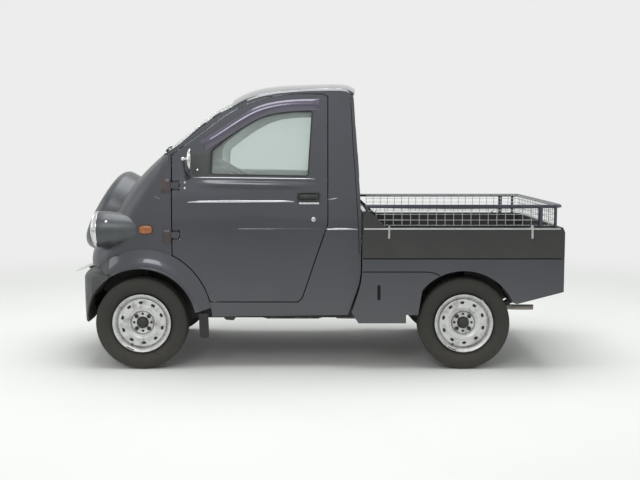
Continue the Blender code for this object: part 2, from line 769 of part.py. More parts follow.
def nose_side_y(x, z):
    """Half width of the cab at a point of its side or nose."""
    share = max(z / ROOF_HEIGHT, NOSE_SHARES[0][0])
    centre = FRONT_AXLE_X + level(NOSE_SHARES, share) * WHEELBASE
    power = level(NOSE_SHARES, share, 2)
    ahead = max(0, NOSE_REAR_X - x) / (NOSE_REAR_X - centre)
    return side_y(z) * (1 - ahead ** power) ** (1 / power)


def wheelhouse(side, word):
    """A half drum over the front wheel with its inner wall."""
    radius = ARCH_RADIUS + FIT
    wall_y = WHEELHOUSE_INNER - WHEELHOUSE_WALL
    wall = WHEELHOUSE_WALL
    sections = []
    for k in range(WHEELHOUSE_STEPS + 1):
        part = k / WHEELHOUSE_STEPS
        angle = math.radians(WHEELHOUSE_ENDS[0]
                             + (WHEELHOUSE_ENDS[1] - WHEELHOUSE_ENDS[0]) * part)
        outer_y = side_y(FLOOR_Z) - SIDE_WALL - PLAY
        if radius * math.cos(angle) < -FLARE_FRONT:
            outer_y -= SIDE_WALL
        profile = ((WHEELHOUSE_LOW, wall_y), (radius + wall, wall_y),
                   (radius + wall, outer_y), (radius, outer_y),
                   (radius, wall_y + wall), (WHEELHOUSE_LOW, wall_y + wall))
        sections.append([(FRONT_AXLE_X + r * math.cos(angle), side * y,
                          TYRE_RADIUS + r * math.sin(angle)) for r, y in profile])
    add("wheelhouse_" + word, loft(sections), "black_plastic", 40)


WHEELHOUSE_LOW = 0.200
WHEELHOUSE_STEPS = 12
WHEELHOUSE_ENDS = (10, 150)             # degrees round the axle, from its rear


# Bumper rows: height, setback of the outer and of the inner skin
BUMPER_ROWS = ((0.262, 0.004, 0.050), (0.510, 0, 0.050), (0.534, 0.012, 0.060),
               (0.549, 0.062, 0.088), (0.573, 0.085, 0.104))
BUMPER_FRONT = 0.384
EAR_FRONT = 0.246                       # ahead of the axle, where the flare's line ends
EAR_STEPS = 2
BUMPER_POWER = 2.9
BUMPER_HALF = 0.642
BUMPER_WIDTH_SHARES = (0, 0.32, 0.56, 0.74, 0.87, 0.96, 1)
PLATE_SIZE = (0.150, 0.330, 0.004)
PLATE_TIP = 0.506                       # height of its lower edge
PLATE_SLOPE = 19
BRACKET_HALF = 0.040
BRACKET_WALL = 0.012


def bumper_row(row, skin):
    z, setback, inner = row
    inset = inner if skin else setback
    rear = FRONT_AXLE_X - FLARE_FRONT - FIT
    length = BUMPER_FRONT - FLARE_FRONT - inset
    wide = BUMPER_HALF - inset
    power = BUMPER_POWER
    return [(rear - length * (1 - w ** power) ** (1 / power), w * wide, z)
            for w in BUMPER_WIDTH_SHARES]


def bumper():
    outer = [both_sides(bumper_row(row, 0)) for row in BUMPER_ROWS]
    inner = [both_sides(bumper_row(row, 1)) for row in BUMPER_ROWS]
    made = add("front_bumper", shell(outer, inner), "black_plastic", 40)
    turns = [math.tau * k / RING_SEGMENTS for k in range(RING_SEGMENTS)]
    ring = [(FRONT_AXLE_X + ARCH_RADIUS * math.cos(t), TYRE_RADIUS + ARCH_RADIUS * math.sin(t))
            for t in turns]
    wide = BED_HALF_WIDTH + OVERRUN
    cut(made, add("arch", prism(ring, -wide, wide), "paint"))
    for side in (-1, 1):
        ear = flare_shell(side, flare_turns(FLARE_FRONT + FIT), flare_turns(EAR_FRONT), EAR_STEPS)
        fuse(made, add("ear", ear, "black_plastic"))
    tip = Vector((FRONT_AXLE_X - NOSE_REACH, PLATE_TIP))
    slope = math.radians(PLATE_SLOPE)
    along = Vector((math.cos(slope), math.sin(slope)))
    up = Vector((-along.y, along.x))
    corners = [tip, tip + along * PLATE_SIZE[0]]
    corners += [corners[1] + up * PLATE_SIZE[2], corners[0] + up * PLATE_SIZE[2]]
    shift = tip.x - min(c.x for c in corners)
    corners = [(c.x + shift, c.y) for c in corners]
    plate = add("front_plate", prism(corners, -PLATE_SIZE[1] / 2, PLATE_SIZE[1] / 2), "plate")
    start = Vector(corners[0]) + along * PLATE_SIZE[0] * 0.30 - up * FIT
    end = Vector(corners[0]) + along * PLATE_SIZE[0] * 0.72 - up * FIT
    foot = FRONT_AXLE_X - BUMPER_FRONT + BRACKET_WALL
    outline = [tuple(start), tuple(end), (foot, end.y - 2 * BRACKET_WALL),
               (foot, start.y - 3 * BRACKET_WALL),
               (foot - 2 * BRACKET_WALL, start.y - 3 * BRACKET_WALL)]
    fuse(made, add("bracket", prism(outline, -BRACKET_HALF, BRACKET_HALF), "black_plastic"))
    return plate


# Headlamp pods: an egg lying along X
LAMP_PLACE = (0.270, 0.520, 0.795)      # ahead of the front axle, across, up
LAMP_RADIUS = 0.104
LAMP_LENGTH = 0.300
LAMP_SHARES = ((0.00, 0.93), (0.09, 1.00), (0.25, 1.00), (0.48, 0.91), (0.68, 0.83),
               (0.81, 0.73), (0.91, 0.50), (0.97, 0.25))
LENS_SHARES = ((0.28, 0.0), (0.25, 0.35), (0.16, 0.70), (0.00, 0.91))
LENS_WALL = 0.006
LAMP_SEGMENTS = 24


def headlamps():
    for side, word in ((-1, "left"), (1, "right")):
        place = Vector((FRONT_AXLE_X - LAMP_PLACE[0], side * LAMP_PLACE[1], LAMP_PLACE[2]))
        profile = [(0, 0)] + [(a * LAMP_LENGTH, r * LAMP_RADIUS) for a, r in LAMP_SHARES]
        profile += [(LAMP_LENGTH, 0)]
        pod = add("headlamp_" + word, laid(turned(profile, LAMP_SEGMENTS), place, (1, 0, 0)),
                  "pod", 50)
        cut(pod, nose_envelope(FIT))
        dome = [(-FIT - a * LAMP_RADIUS, r * LAMP_RADIUS) for a, r in LENS_SHARES]
        dome += [(-FIT, 0)]
        add("headlamp_lens_" + word, laid(turned(dome, LAMP_SEGMENTS), place, (1, 0, 0)),
            "glass", 50)


# Spare wheel in its cover
SPARE_PLACE = (0.320, 0.8955)           # face's middle ahead of the axle, and up
SPARE_TILT = 60.9
SPARE_RADIUS = 0.267
SPARE_CROWN = 0.020
SPARE_SHARES = ((1.0, 0.0), (0.92, 0.45), (0.62, 0.78), (0.00, 0.90), (-1.20, 0.98),
                (-2.40, 1.00), (-8.0, 1.00))


def spare():
    tilt = math.radians(SPARE_TILT)
    outward = Vector((-math.sin(tilt), 0, math.cos(tilt)))
    place = Vector((FRONT_AXLE_X - SPARE_PLACE[0], 0, SPARE_PLACE[1]))
    profile = [(a * SPARE_CROWN, r * SPARE_RADIUS) for a, r in SPARE_SHARES]
    profile += [(SPARE_SHARES[-1][0] * SPARE_CROWN, 0)]
    made = add("spare_wheel", laid(turned(profile, 28), place, outward), "black_plastic", 50)
    cut(made, nose_envelope(FIT))
    below = box((FRONT_AXLE_X - WHEELBASE, -CAB_HALF_WIDTH, 0),
                (FRONT_AXLE_X, CAB_HALF_WIDTH, NOSE_FOOT + 2 * PLAY))
    cut(made, add("below", below, "paint"))


# Chassis
FRAME_BENDS = ((-0.20, RAIL_LOW), (1.235, RAIL_LOW), (1.430, RAIL_HIGH), (2.40, RAIL_HIGH))
CROSS_PLACES = ((0.040, 0.100), (0.400, 0.460), (1.360, 1.420), (2.040, 2.100))
FRAME_REAR = 2.340


def chassis():
    """A ladder in plan, bent upwards over the rear axle."""
    seat = [(y, x) for x, y, z in bumper_row(BUMPER_ROWS[1], 1)]
    front = level(seat, RAIL_OUT) + FIT
    rear = FRONT_AXLE_X + FRAME_REAR
    outline = [(front, -RAIL_OUT), (rear, -RAIL_OUT), (rear, RAIL_OUT), (front, RAIL_OUT)]
    starts = [front + FRAME_END] + [FRONT_AXLE_X + high for low, high in CROSS_PLACES]
    ends = [FRONT_AXLE_X + low for low, high in CROSS_PLACES] + [rear - FRAME_END]
    holes = [[(a, -RAIL_IN), (b, -RAIL_IN), (b, RAIL_IN), (a, RAIL_IN)]
             for a, b in zip(starts, ends)]

    def place(x, y, skin):
        return (x, y, level(FRAME_BENDS, x - FRONT_AXLE_X) + RAIL_DEPTH * skin)
    bends = (0, [FRONT_AXLE_X + row[0] for row in FRAME_BENDS[1:3]])
    add("chassis_frame", panel(outline, place, holes, [bends]), "chassis")


FRAME_END = 0.060
ARM_HALF = 0.030
ARM_ROOT_Z = 0.190
ARM_END = (0.4929, 0.150)
ARM_DEPTH = 0.030


def front_axle():
    top = RAIL_LOW - FIT
    half = [(0, top), (RAIL_OUT, top), (RAIL_OUT + ARM_DEPTH / 2, ARM_ROOT_Z),
            (ARM_END[0], ARM_END[1] + ARM_DEPTH), (ARM_END[0], ARM_END[1]),
            (RAIL_OUT, ARM_ROOT_Z - ARM_DEPTH), (0, ARM_ROOT_Z - ARM_DEPTH)]
    outline = half[1:-1] + [(-y, z) for y, z in half[-2:0:-1]]
    bm = prism(outline, FRONT_AXLE_X - ARM_HALF, FRONT_AXLE_X + ARM_HALF, 0)
    add("front_crossmember", bm, "chassis")
    foot = Vector((FRONT_AXLE_X, *KINGPIN_FOOT))
    top = Vector((FRONT_AXLE_X, *KINGPIN_TOP))
    axis = (top - foot).normalized()
    for side, word in ((-1, "left"), (1, "right")):
        def here(p):
            return (p[0], side * p[1], p[2])
        low = foot + axis * KNUCKLE_LOW
        high = top - axis * STRUT_CLEAR
        made = add("knuckle_" + word, rod(here(low), here(high), STRUT_RADIUS, 12), "chassis")
        centre = Vector((FRONT_AXLE_X, 0, TYRE_RADIUS))
        start = centre + Vector((0, side * HUB_INNER, 0))
        end = centre + Vector((0, side * (HUB_FACE - FIT), 0))
        fuse(made, add("hub", rod(start, end, HUB_CARRIER, 16), "chassis"))
        pivot(made, here(foot + axis * (TYRE_RADIUS - foot.z) / axis.z))


KNUCKLE_LOW = 0.025
STRUT_CLEAR = 0.034
HUB_INNER = 0.470
HUB_CARRIER = 0.060
HUB_FACE = 0.535

AXLE_TUBE = 0.030
AXLE_SHARES = ((1.00, 1.0), (0.22, 1.0), (0.16, 3.2), (0.08, 3.8))
SPRING_DEPTH = 0.032
SPRING_HALF = 0.025
SPRING_REACH = 0.400
SHAFT_RADIUS = 0.026
SHAFT_FRONT = 1.150


def rear_axle():
    half = [(side * a * (HUB_FACE - FIT), r * AXLE_TUBE) for side, rows in
            ((-1, AXLE_SHARES), (1, AXLE_SHARES[::-1])) for a, r in rows]
    profile = [(half[0][0], 0)] + half + [(half[-1][0], 0)]
    centre = Vector((REAR_AXLE_X, 0, TYRE_RADIUS))
    made = add("rear_axle", laid(turned(profile, 14), centre, (0, 1, 0)), "chassis", 40)
    low = TYRE_RADIUS - AXLE_TUBE - SPRING_DEPTH / 2
    high = RAIL_HIGH - FIT
    middle = (RAIL_IN + RAIL_OUT) / 2
    top, under = [], []
    for k in range(SPRING_STEPS + 1):
        part = 2 * k / SPRING_STEPS - 1
        rise = (high - SPRING_DEPTH - low) * part * part
        x = REAR_AXLE_X + part * SPRING_REACH
        top.append((x, low + rise + SPRING_DEPTH))
        under.append((x, low + rise))
    springs = []
    for side in (-1, 1):
        y = side * middle
        springs.append(add("spring", prism(top + under[::-1], y - SPRING_HALF,
                                           y + SPRING_HALF), "chassis"))
    lean = (SHAFT_Z - TYRE_RADIUS) / (WHEELBASE - SHAFT_FRONT)
    start = (FRONT_AXLE_X + SHAFT_FRONT + FIT + SHAFT_RADIUS * lean, 0, SHAFT_Z)
    shaft = add("shaft", rod(start, centre, SHAFT_RADIUS, 12), "chassis")
    fuse(made, shaft, *springs)


SPRING_STEPS = 8
SHAFT_Z = 0.310

# Engine and gearbox under the seats: plan outline with its mounting arms
ENGINE_ROWS = ((0.640, 0.120), (0.700, 0.190), (1.010, 0.190), (1.060, 0.090), (SHAFT_FRONT, 0.070))
ENGINE_ARM = (0.760, 0.860)
ENGINE_LOW = 0.215
ENGINE_HIGH = 0.545


def engine():
    right = []
    for x, y in ENGINE_ROWS[:2]:
        right.append((x, y))
    for x, y in zip((ENGINE_ARM[0], ENGINE_ARM[0], ENGINE_ARM[1], ENGINE_ARM[1]),
                    (ENGINE_ROWS[1][1], RAIL_IN - FIT, RAIL_IN - FIT, ENGINE_ROWS[1][1])):
        right.append((x, y))
    right += list(ENGINE_ROWS[2:])
    outline = [(FRONT_AXLE_X + x, y) for x, y in right]
    outline += [(x, -y) for x, y in outline[::-1]]

    def place(x, y, skin):
        far = min(1, max(0, (x - FRONT_AXLE_X - ENGINE_ROWS[2][0])
                         / (ENGINE_ROWS[3][0] - ENGINE_ROWS[2][0])))
        arm = abs(y) > ENGINE_ROWS[1][1] + PLAY
        high = ENGINE_HIGH + (SHAFT_Z + ENGINE_ROWS[3][1] - ENGINE_HIGH) * far
        low = ENGINE_LOW + (SHAFT_Z - ENGINE_ROWS[3][1] - ENGINE_LOW) * far
        if arm:
            high, low = RAIL_LOW + RAIL_DEPTH, RAIL_LOW
        return (x, y, high if skin else low)
    bends = (0, [FRONT_AXLE_X + row[0] for row in ENGINE_ROWS[2:4]])
    add("engine", panel(outline, place, cuts=[bends]), "cast", 30)


EXHAUST_RADIUS = 0.016
MUFFLER_RADIUS = 0.060
# Route of the pipe behind the engine: back from the front axle, across, up
EXHAUST_ROUTE = ((1.0490, -0.130, 0.262), (1.085, -0.130, 0.262), (1.130, -0.132, 0.222),
                 (1.245, -0.140, 0.222),
                 (1.300, -0.140, 0.285), (1.540, -0.140, 0.300), (1.640, -0.200, 0.330),
                 (1.740, -0.400, 0.345), (1.800, -0.430, 0.345), (2.120, -0.440, 0.331),
                 (2.268, -0.450, 0.331))
MUFFLER_ENDS = ((1.290, -0.140, 0.285), (1.560, -0.140, 0.301))
TANK_PLACE = ((1.275, 0.3153, 0.270), (1.540, 0.590, 0.500))


def on_chassis(point):
    return (FRONT_AXLE_X + point[0], *point[1:])


def underside():
    made = add("exhaust", tube([on_chassis(p) for p in EXHAUST_ROUTE], EXHAUST_RADIUS, 8),
               "cast", 50)
    can = rod(*[on_chassis(p) for p in MUFFLER_ENDS], MUFFLER_RADIUS, 16)
    fuse(made, add("can", can, "cast"))
    tank = add("fuel_tank", box(*[on_chassis(p) for p in TANK_PLACE]), "chassis", 40)
    bevelled(tank, TANK_BEVEL, 2)


TANK_BEVEL = 0.025

# Bed
BED_FRONT = 1.262
BED_FLOOR_Z = 0.640
BED_FLOOR_WALL = 0.040
BOARD_WALL = 0.030
BED_FRONT_WALL = 0.022
BED_FRONT_TOP = 0.900
COVER_WALL = BOARD_WALL
# Lower side panel: its front edge follows the cab, a skirt hangs below it, then the
# wheel arch and the slope up to the tail
COVER_FRONT_SHARES = ((0.683, 0.390), (0.683, 0.346), (0.678, 0.297), (0.664, 0.246),
                      (0.651, 0.202), (0.672, 0.164), (0.819, 0.164), (0.819, 0.193),
                      (0.856, 0.193))
COVER_REAR_SHARES = ((1.160, 0.231), (1.303, 0.273), (1.303, 0.390))
REAR_ARCH = (-0.008, 0.262, 0.307)      # behind the rear axle, up, radius
REAR_ARCH_ENDS = (140, 24)              # degrees, from its front end to its rear end
REAR_ARCH_STEPS = 12
LINER_STEP = 0.002                      # between the arch's edge and its liner
LINER_WALL = 0.008
LINER_IN = 0.360
BOARD_SHARES = ((0.683, 0.3905), (1.303, 0.3905), (1.303, 0.479), (1.299, 0.490),
                (1.289, 0.494), (0.758, 0.494), (0.704, 0.551), (0.686, 0.551))
TAIL_LOW = 0.450
GATE_LOW = 0.648
GATE_HIGH = 0.812


def rear_arch(growth):
    """Points along the rear wheel arch, from its front end to its rear end."""
    shift, height, radius = REAR_ARCH
    points = []
    for k in range(REAR_ARCH_STEPS + 1):
        part = k / REAR_ARCH_STEPS
        angle = math.radians(REAR_ARCH_ENDS[0] + (REAR_ARCH_ENDS[1] - REAR_ARCH_ENDS[0]) * part)
        points.append((REAR_AXLE_X + shift + (radius + growth) * math.cos(angle),
                       height + (radius + growth) * math.sin(angle)))
    return points


def side_cover(side, word):
    """The lower side panel behind the cab, with the liner over the rear wheel."""
    outline = [spot(*share) for share in COVER_FRONT_SHARES] + rear_arch(0)
    outline += [spot(*share) for share in COVER_REAR_SHARES]
    outer = BED_HALF_WIDTH - FIT
    low, high = sorted((side * outer, side * (outer - COVER_WALL)))
    made = add("quarter_panel_" + word, prism(outline, low, high), "paint")
    sheet = rear_arch(LINER_STEP) + rear_arch(LINER_STEP + LINER_WALL)[::-1]
    low, high = sorted((side * LINER_IN, side * (outer - COVER_WALL / 2)))
    fuse(made, add("liner", prism(sheet, low, high), "paint"))


def bed():
    x0, x1 = FRONT_AXLE_X + BED_FRONT, BED_END_X - BOARD_WALL
    wide = BED_HALF_WIDTH - BOARD_WALL - FIT
    wall_x = x0 + BED_FRONT_WALL
    outline = [(x0, BED_FLOOR_Z - BED_FLOOR_WALL), (x1, BED_FLOOR_Z - BED_FLOOR_WALL),
               (x1, BED_FLOOR_Z), (wall_x, BED_FLOOR_Z), (wall_x, BED_FRONT_TOP),
               (x0, BED_FRONT_TOP)]
    made = add("bed_floor", prism(outline, -wide, wide), "paint")
    sills = []
    for side in (-1, 1):
        middle = side * (RAIL_IN + RAIL_OUT) / 2
        low = RAIL_HIGH + RAIL_DEPTH + FIT
        sills.append(add("sill", box((x0 + OVERRUN * 4, middle - SILL_HALF, low),
                                     (x1 - OVERRUN, middle + SILL_HALF,
                                      BED_FLOOR_Z - BED_FLOOR_WALL / 2)), "paint"))
    fuse(made, *sills)
    board = [spot(*share) for share in BOARD_SHARES]
    for side, word in ((-1, "left"), (1, "right")):
        side_cover(side, word)
        low, high = sorted((side * BED_HALF_WIDTH, side * (BED_HALF_WIDTH - BOARD_WALL)))
        add("bed_side_" + word, prism(board, low, high), "black_board")
    gate_half = BED_HALF_WIDTH - BOARD_WALL - PLAY
    gate = add("tailgate", box((BED_END_X - BOARD_WALL + PLAY, -gate_half, GATE_LOW),
                               (BED_END_X, gate_half, GATE_HIGH)), "black_board")
    pins = []
    pin_x, pin_z = BED_END_X - GATE_PIN, GATE_LOW + GATE_PIN
    for side in (-1, 1):
        start = (pin_x, side * (gate_half - BOARD_WALL), pin_z)
        end = (pin_x, side * (gate_half + PLAY - FIT), pin_z)
        pins.append(add("pin", rod(start, end, PIN_RADIUS, 6), "black_board"))
    fuse(gate, *pins)
    pivot(gate, (pin_x, 0, pin_z))
    rear = box((BED_END_X - BOARD_WALL, -wide, TAIL_LOW),
               (BED_END_X - BOARD_WALL / 3, wide, BED_FLOOR_Z - FIT))
    add("rear_panel", rear, "paint")
    for side, word in ((-1, "left"), (1, "right")):
        low, high = sorted((side * LAMP_SPAN[0], side * LAMP_SPAN[1]))
        lamp = box((BED_END_X - BOARD_WALL / 3 + FIT, low, TAIL_LAMP_Z[0]),
                   (BED_END_X - FIT, high, TAIL_LAMP_Z[1]))
        add("tail_lamp_" + word, lamp, "red_lens")


SILL_HALF = 0.025
PIN_RADIUS = 0.005
GATE_PIN = 0.008
LAMP_SPAN = (0.430, 0.590)
TAIL_LAMP_Z = (0.500, 0.600)

# Rack of round bars with galvanised mesh
BAR_RADIUS = 0.010
BAR_Z = 0.933
BAR_Y = 0.612
BAR_CORNER = 0.060
BAR_FRONT = 1.272
BAR_REAR = 2.384
# Behind the front axle, and the row of the board's outline that a post stands on
POST_PLACES = ((1.284, -1), (2.261, 4), (2.346, 4))
MESH_FRONT = 1.340
MESH_PITCH = 0.140
MESH_WIRE = 0.004
MESH_LEVELS = (0.822, 0.877, 0.931)


def rack():
    x0, x1 = FRONT_AXLE_X + BAR_FRONT, FRONT_AXLE_X + BAR_REAR
    route = [(x0, -BAR_Y, BAR_Z), (x1, -BAR_Y, BAR_Z), (x1, BAR_Y, BAR_Z), (x0, BAR_Y, BAR_Z)]
    made = add("rack_frame", tube(rounded_route(route, BAR_CORNER), BAR_RADIUS, 8), "paint", 50)
    posts = []
    for place, row in POST_PLACES:
        top = BOARD_SHARES[row][1] * ROOF_HEIGHT + FIT
        for side in (-1, 1):
            y = side * (BAR_Y + POST_OUT)
            x = FRONT_AXLE_X + place
            posts.append(add("post", rod((x, y, top), (x, y, BAR_Z), POST_RADIUS, 6), "paint"))
    fuse(made, *posts)
    half = BAR_Y - BAR_RADIUS - FIT
    start = FRONT_AXLE_X + MESH_FRONT
    rear = x1 - BAR_RADIUS - FIT
    corner = BAR_CORNER
    route = [(start, -half), (rear - corner, -half), (rear, corner - half),
             (rear, half - corner), (rear - corner, half), (start, half)]
    columns, hole_columns = [], []
    before = None
    for a, b in zip(route, route[1:]):
        a, b = Vector(a), Vector(b)
        run = (b - a).normalized()
        inward = Vector((-run.y, run.x))
        count = max(1, round((b - a).length / MESH_PITCH))
        for k in range(count):
            here = a.lerp(b, k / count)
            skin = inward
            if before and not k:
                skin = (inward + before) / (1 + inward.dot(before))
            columns += [(here, skin), (here + run * MESH_WIRE, inward)]
            hole_columns.append(len(columns) - 1)
        before = inward
    columns += [(b, inward), (b + run * MESH_WIRE, inward)]
    rows = [z + step for z in MESH_LEVELS for step in (0, MESH_WIRE)]
    outer = [[(p.x, p.y, z) for p, skin in columns] for z in rows]
    inner = [[(p.x + skin.x * MESH_WIRE, p.y + skin.y * MESH_WIRE, z) for p, skin in columns]
             for z in rows]
    holes = [(r, c) for r in (1, 3) for c in hole_columns]
    add("rack_mesh", shell(outer, inner, holes=holes), "galvanised")


POST_OUT = 0.010
POST_RADIUS = 0.009


# Mirrors on the doors
MIRROR_HEAD = (0.294, 0.676, 1.205)     # behind the axle, across, up
MIRROR_SIZE = (0.018, 0.068, 0.053)
MIRROR_FOOT = (0.262, 1.100)
MIRROR_STAY = 0.007


def mirrors():
    for side, word in ((-1, "left"), (1, "right")):
        head = Vector((FRONT_AXLE_X + MIRROR_HEAD[0], side * MIRROR_HEAD[1], MIRROR_HEAD[2]))
        arc = [(math.cos(math.pi * k / 6), math.sin(math.pi * k / 6)) for k in range(7)]
        bm = turned(arc, 14)
        bm.transform(Matrix.Translation(head) @ Matrix.Diagonal((*MIRROR_SIZE, 1)))
        made = add("mirror_" + word, bm, "chrome", 60)
        x, z = FRONT_AXLE_X + MIRROR_FOOT[0], MIRROR_FOOT[1]
        foot = (x, side * (side_y(z - MIRROR_STAY) + FIT), z)
        bend = (x, side * MIRROR_HEAD[1], z)
        stay = add("stay", tube(rounded_route([foot, bend, head], MIRROR_SIZE[0] * 2),
                                MIRROR_STAY, 8), "chrome")
        fuse(made, stay)
        pivot(made, hinge_point(side, HINGE_HEIGHTS[0]))


# Rim face rows: distance out from the wheel's middle plane, radius
RIM_FACE = ((-0.052, 0.162), (0.059, RIM_RADIUS), (0.046, 0.147), (0.024, 0.133),
            (0.036, 0.099), (0.012, 0.045))
RIM_SHEET = 0.006
VENT_ROW = 3
# Degrees within one vent's share of the turn: its two edges and the rib's middle
VENT_ANGLES = (0, 16, 26)


def wheels():
    for name, x, side in (("front_left", FRONT_AXLE_X, -1), ("front_right", FRONT_AXLE_X, 1),
                          ("rear_left", REAR_AXLE_X, -1), ("rear_right", REAR_AXLE_X, 1)):
        centre = Vector((x, side * HALF_TRACK, TYRE_RADIUS))
        seat = RIM_RADIUS + FIT
        half = [(a * TYRE_WIDTH / 2, seat + b * (TYRE_RADIUS - seat)) for a, b in TYRE_SHARES]
        profile = half + [(-a, r) for a, r in half[::-1]]
        tyre = add("tyre_" + name, laid(turned(profile, TYRE_SEGMENTS, True), centre,
                                        (0, side, 0)), "tyre", 50)
        pivot(tyre, centre)
        turns = [math.radians(360 * k / VENTS + a) for k in range(VENTS) for a in VENT_ANGLES]
        front = [[(a, r * math.cos(t), r * math.sin(t)) for t in turns] for a, r in RIM_FACE]
        back = [[(a - RIM_SHEET, (r - RIM_SHEET) * math.cos(t), (r - RIM_SHEET) * math.sin(t))
                 for t in turns] for a, r in RIM_FACE]
        holes = [(VENT_ROW, k * len(VENT_ANGLES)) for k in range(VENTS)]
        bm = shell(front, back, True, holes)
        rim = add("rim_" + name, laid(bm, centre, (0, side, 0)), "rim", 40)
        cap = ((HUB_FACE - HALF_TRACK, 0), (HUB_FACE - HALF_TRACK, HUB_RADIUS * 1.6),
               (0.008, HUB_RADIUS * 1.6), (0.016, HUB_RADIUS), (0.034, HUB_RADIUS * 0.9),
               (0.040, 0))
        fuse(rim, add("cap", laid(turned(cap, 10), centre, (0, side, 0)), "rim"))
        pivot(rim, centre)


TYRE_SEGMENTS = 30


def build():
    for made in list(bpy.data.objects):
        bpy.data.objects.remove(made)
    nose()
    cab_sides()
    roof()
    windscreen()
    rear_wall()
    cab_floor()
    seats()
    dashboard()
    for side, word in ((-1, "left"), (1, "right")):
        flare(side, word)
        wheelhouse(side, word)
    bumper()
    headlamps()
    spare()
    chassis()
    front_axle()
    rear_axle()
    engine()
    underside()
    bed()
    rack()
    mirrors()
    wheels()


build()
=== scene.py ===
import bpy
import bmesh
import math
import numpy as np
from mathutils import Matrix, Vector
from mathutils.bvhtree import BVHTree


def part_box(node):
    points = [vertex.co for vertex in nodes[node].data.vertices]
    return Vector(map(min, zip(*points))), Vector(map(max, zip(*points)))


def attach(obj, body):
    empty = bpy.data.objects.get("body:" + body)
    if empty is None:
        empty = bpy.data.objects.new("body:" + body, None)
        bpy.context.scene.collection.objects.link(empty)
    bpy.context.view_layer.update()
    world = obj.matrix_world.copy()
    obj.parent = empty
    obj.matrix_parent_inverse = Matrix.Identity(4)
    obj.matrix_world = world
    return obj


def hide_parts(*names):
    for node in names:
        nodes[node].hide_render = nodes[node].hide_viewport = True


# Small cab-over truck: paint, glass, rubber, wheels, cabin trim, bed fittings.
# Metres. The front faces -X, the left side faces -Y.

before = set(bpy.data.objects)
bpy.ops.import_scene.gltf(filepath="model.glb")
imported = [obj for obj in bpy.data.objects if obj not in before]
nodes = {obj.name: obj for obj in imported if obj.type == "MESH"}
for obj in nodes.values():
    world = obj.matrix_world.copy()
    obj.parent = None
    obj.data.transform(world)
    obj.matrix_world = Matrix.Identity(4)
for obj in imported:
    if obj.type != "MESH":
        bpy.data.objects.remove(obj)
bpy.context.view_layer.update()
print("frame:", len(nodes), "nodes")


# camera

camera = {"place": (0.0585, -6.077, 1.277), "pitch": 5.59, "pixels": 970, "wide": 640}

lens = bpy.data.cameras.new("camera")
lens.sensor_width = 36
lens.lens = camera["pixels"] / camera["wide"] * lens.sensor_width
eye = bpy.data.objects.new("camera", lens)
eye.location = camera["place"]
eye.rotation_euler = (math.radians(90 - camera["pitch"]), 0, 0)
bpy.context.scene.collection.objects.link(eye)
bpy.context.scene.camera = eye


# small tools

def srgb(code, alpha=1):
    parts = [int(code[i:i + 2], 16) / 255 for i in (0, 2, 4)]
    linear = [p / 12.92 if p <= 0.04045 else ((p + 0.055) / 1.055) ** 2.4 for p in parts]
    return (*linear, alpha)


def addNode(tree, kind, settings=None, links=None):
    made = tree.nodes.new("ShaderNode" + kind)
    for key, value in (settings or {}).items():
        if key == "stops":
            ramp = made.color_ramp
            ramp.elements[0].position, ramp.elements[1].position = value[0], value[1]
        elif isinstance(key, str) and key[0].islower():
            setattr(made, key, value)
        else:
            made.inputs[key].default_value = value
    for key, source in (links or {}).items():
        tree.links.new(source, made.inputs[key])
    return made


def perMetre(mm):
    return 1000 / mm     # scale of a pattern that repeats every so many millimetres


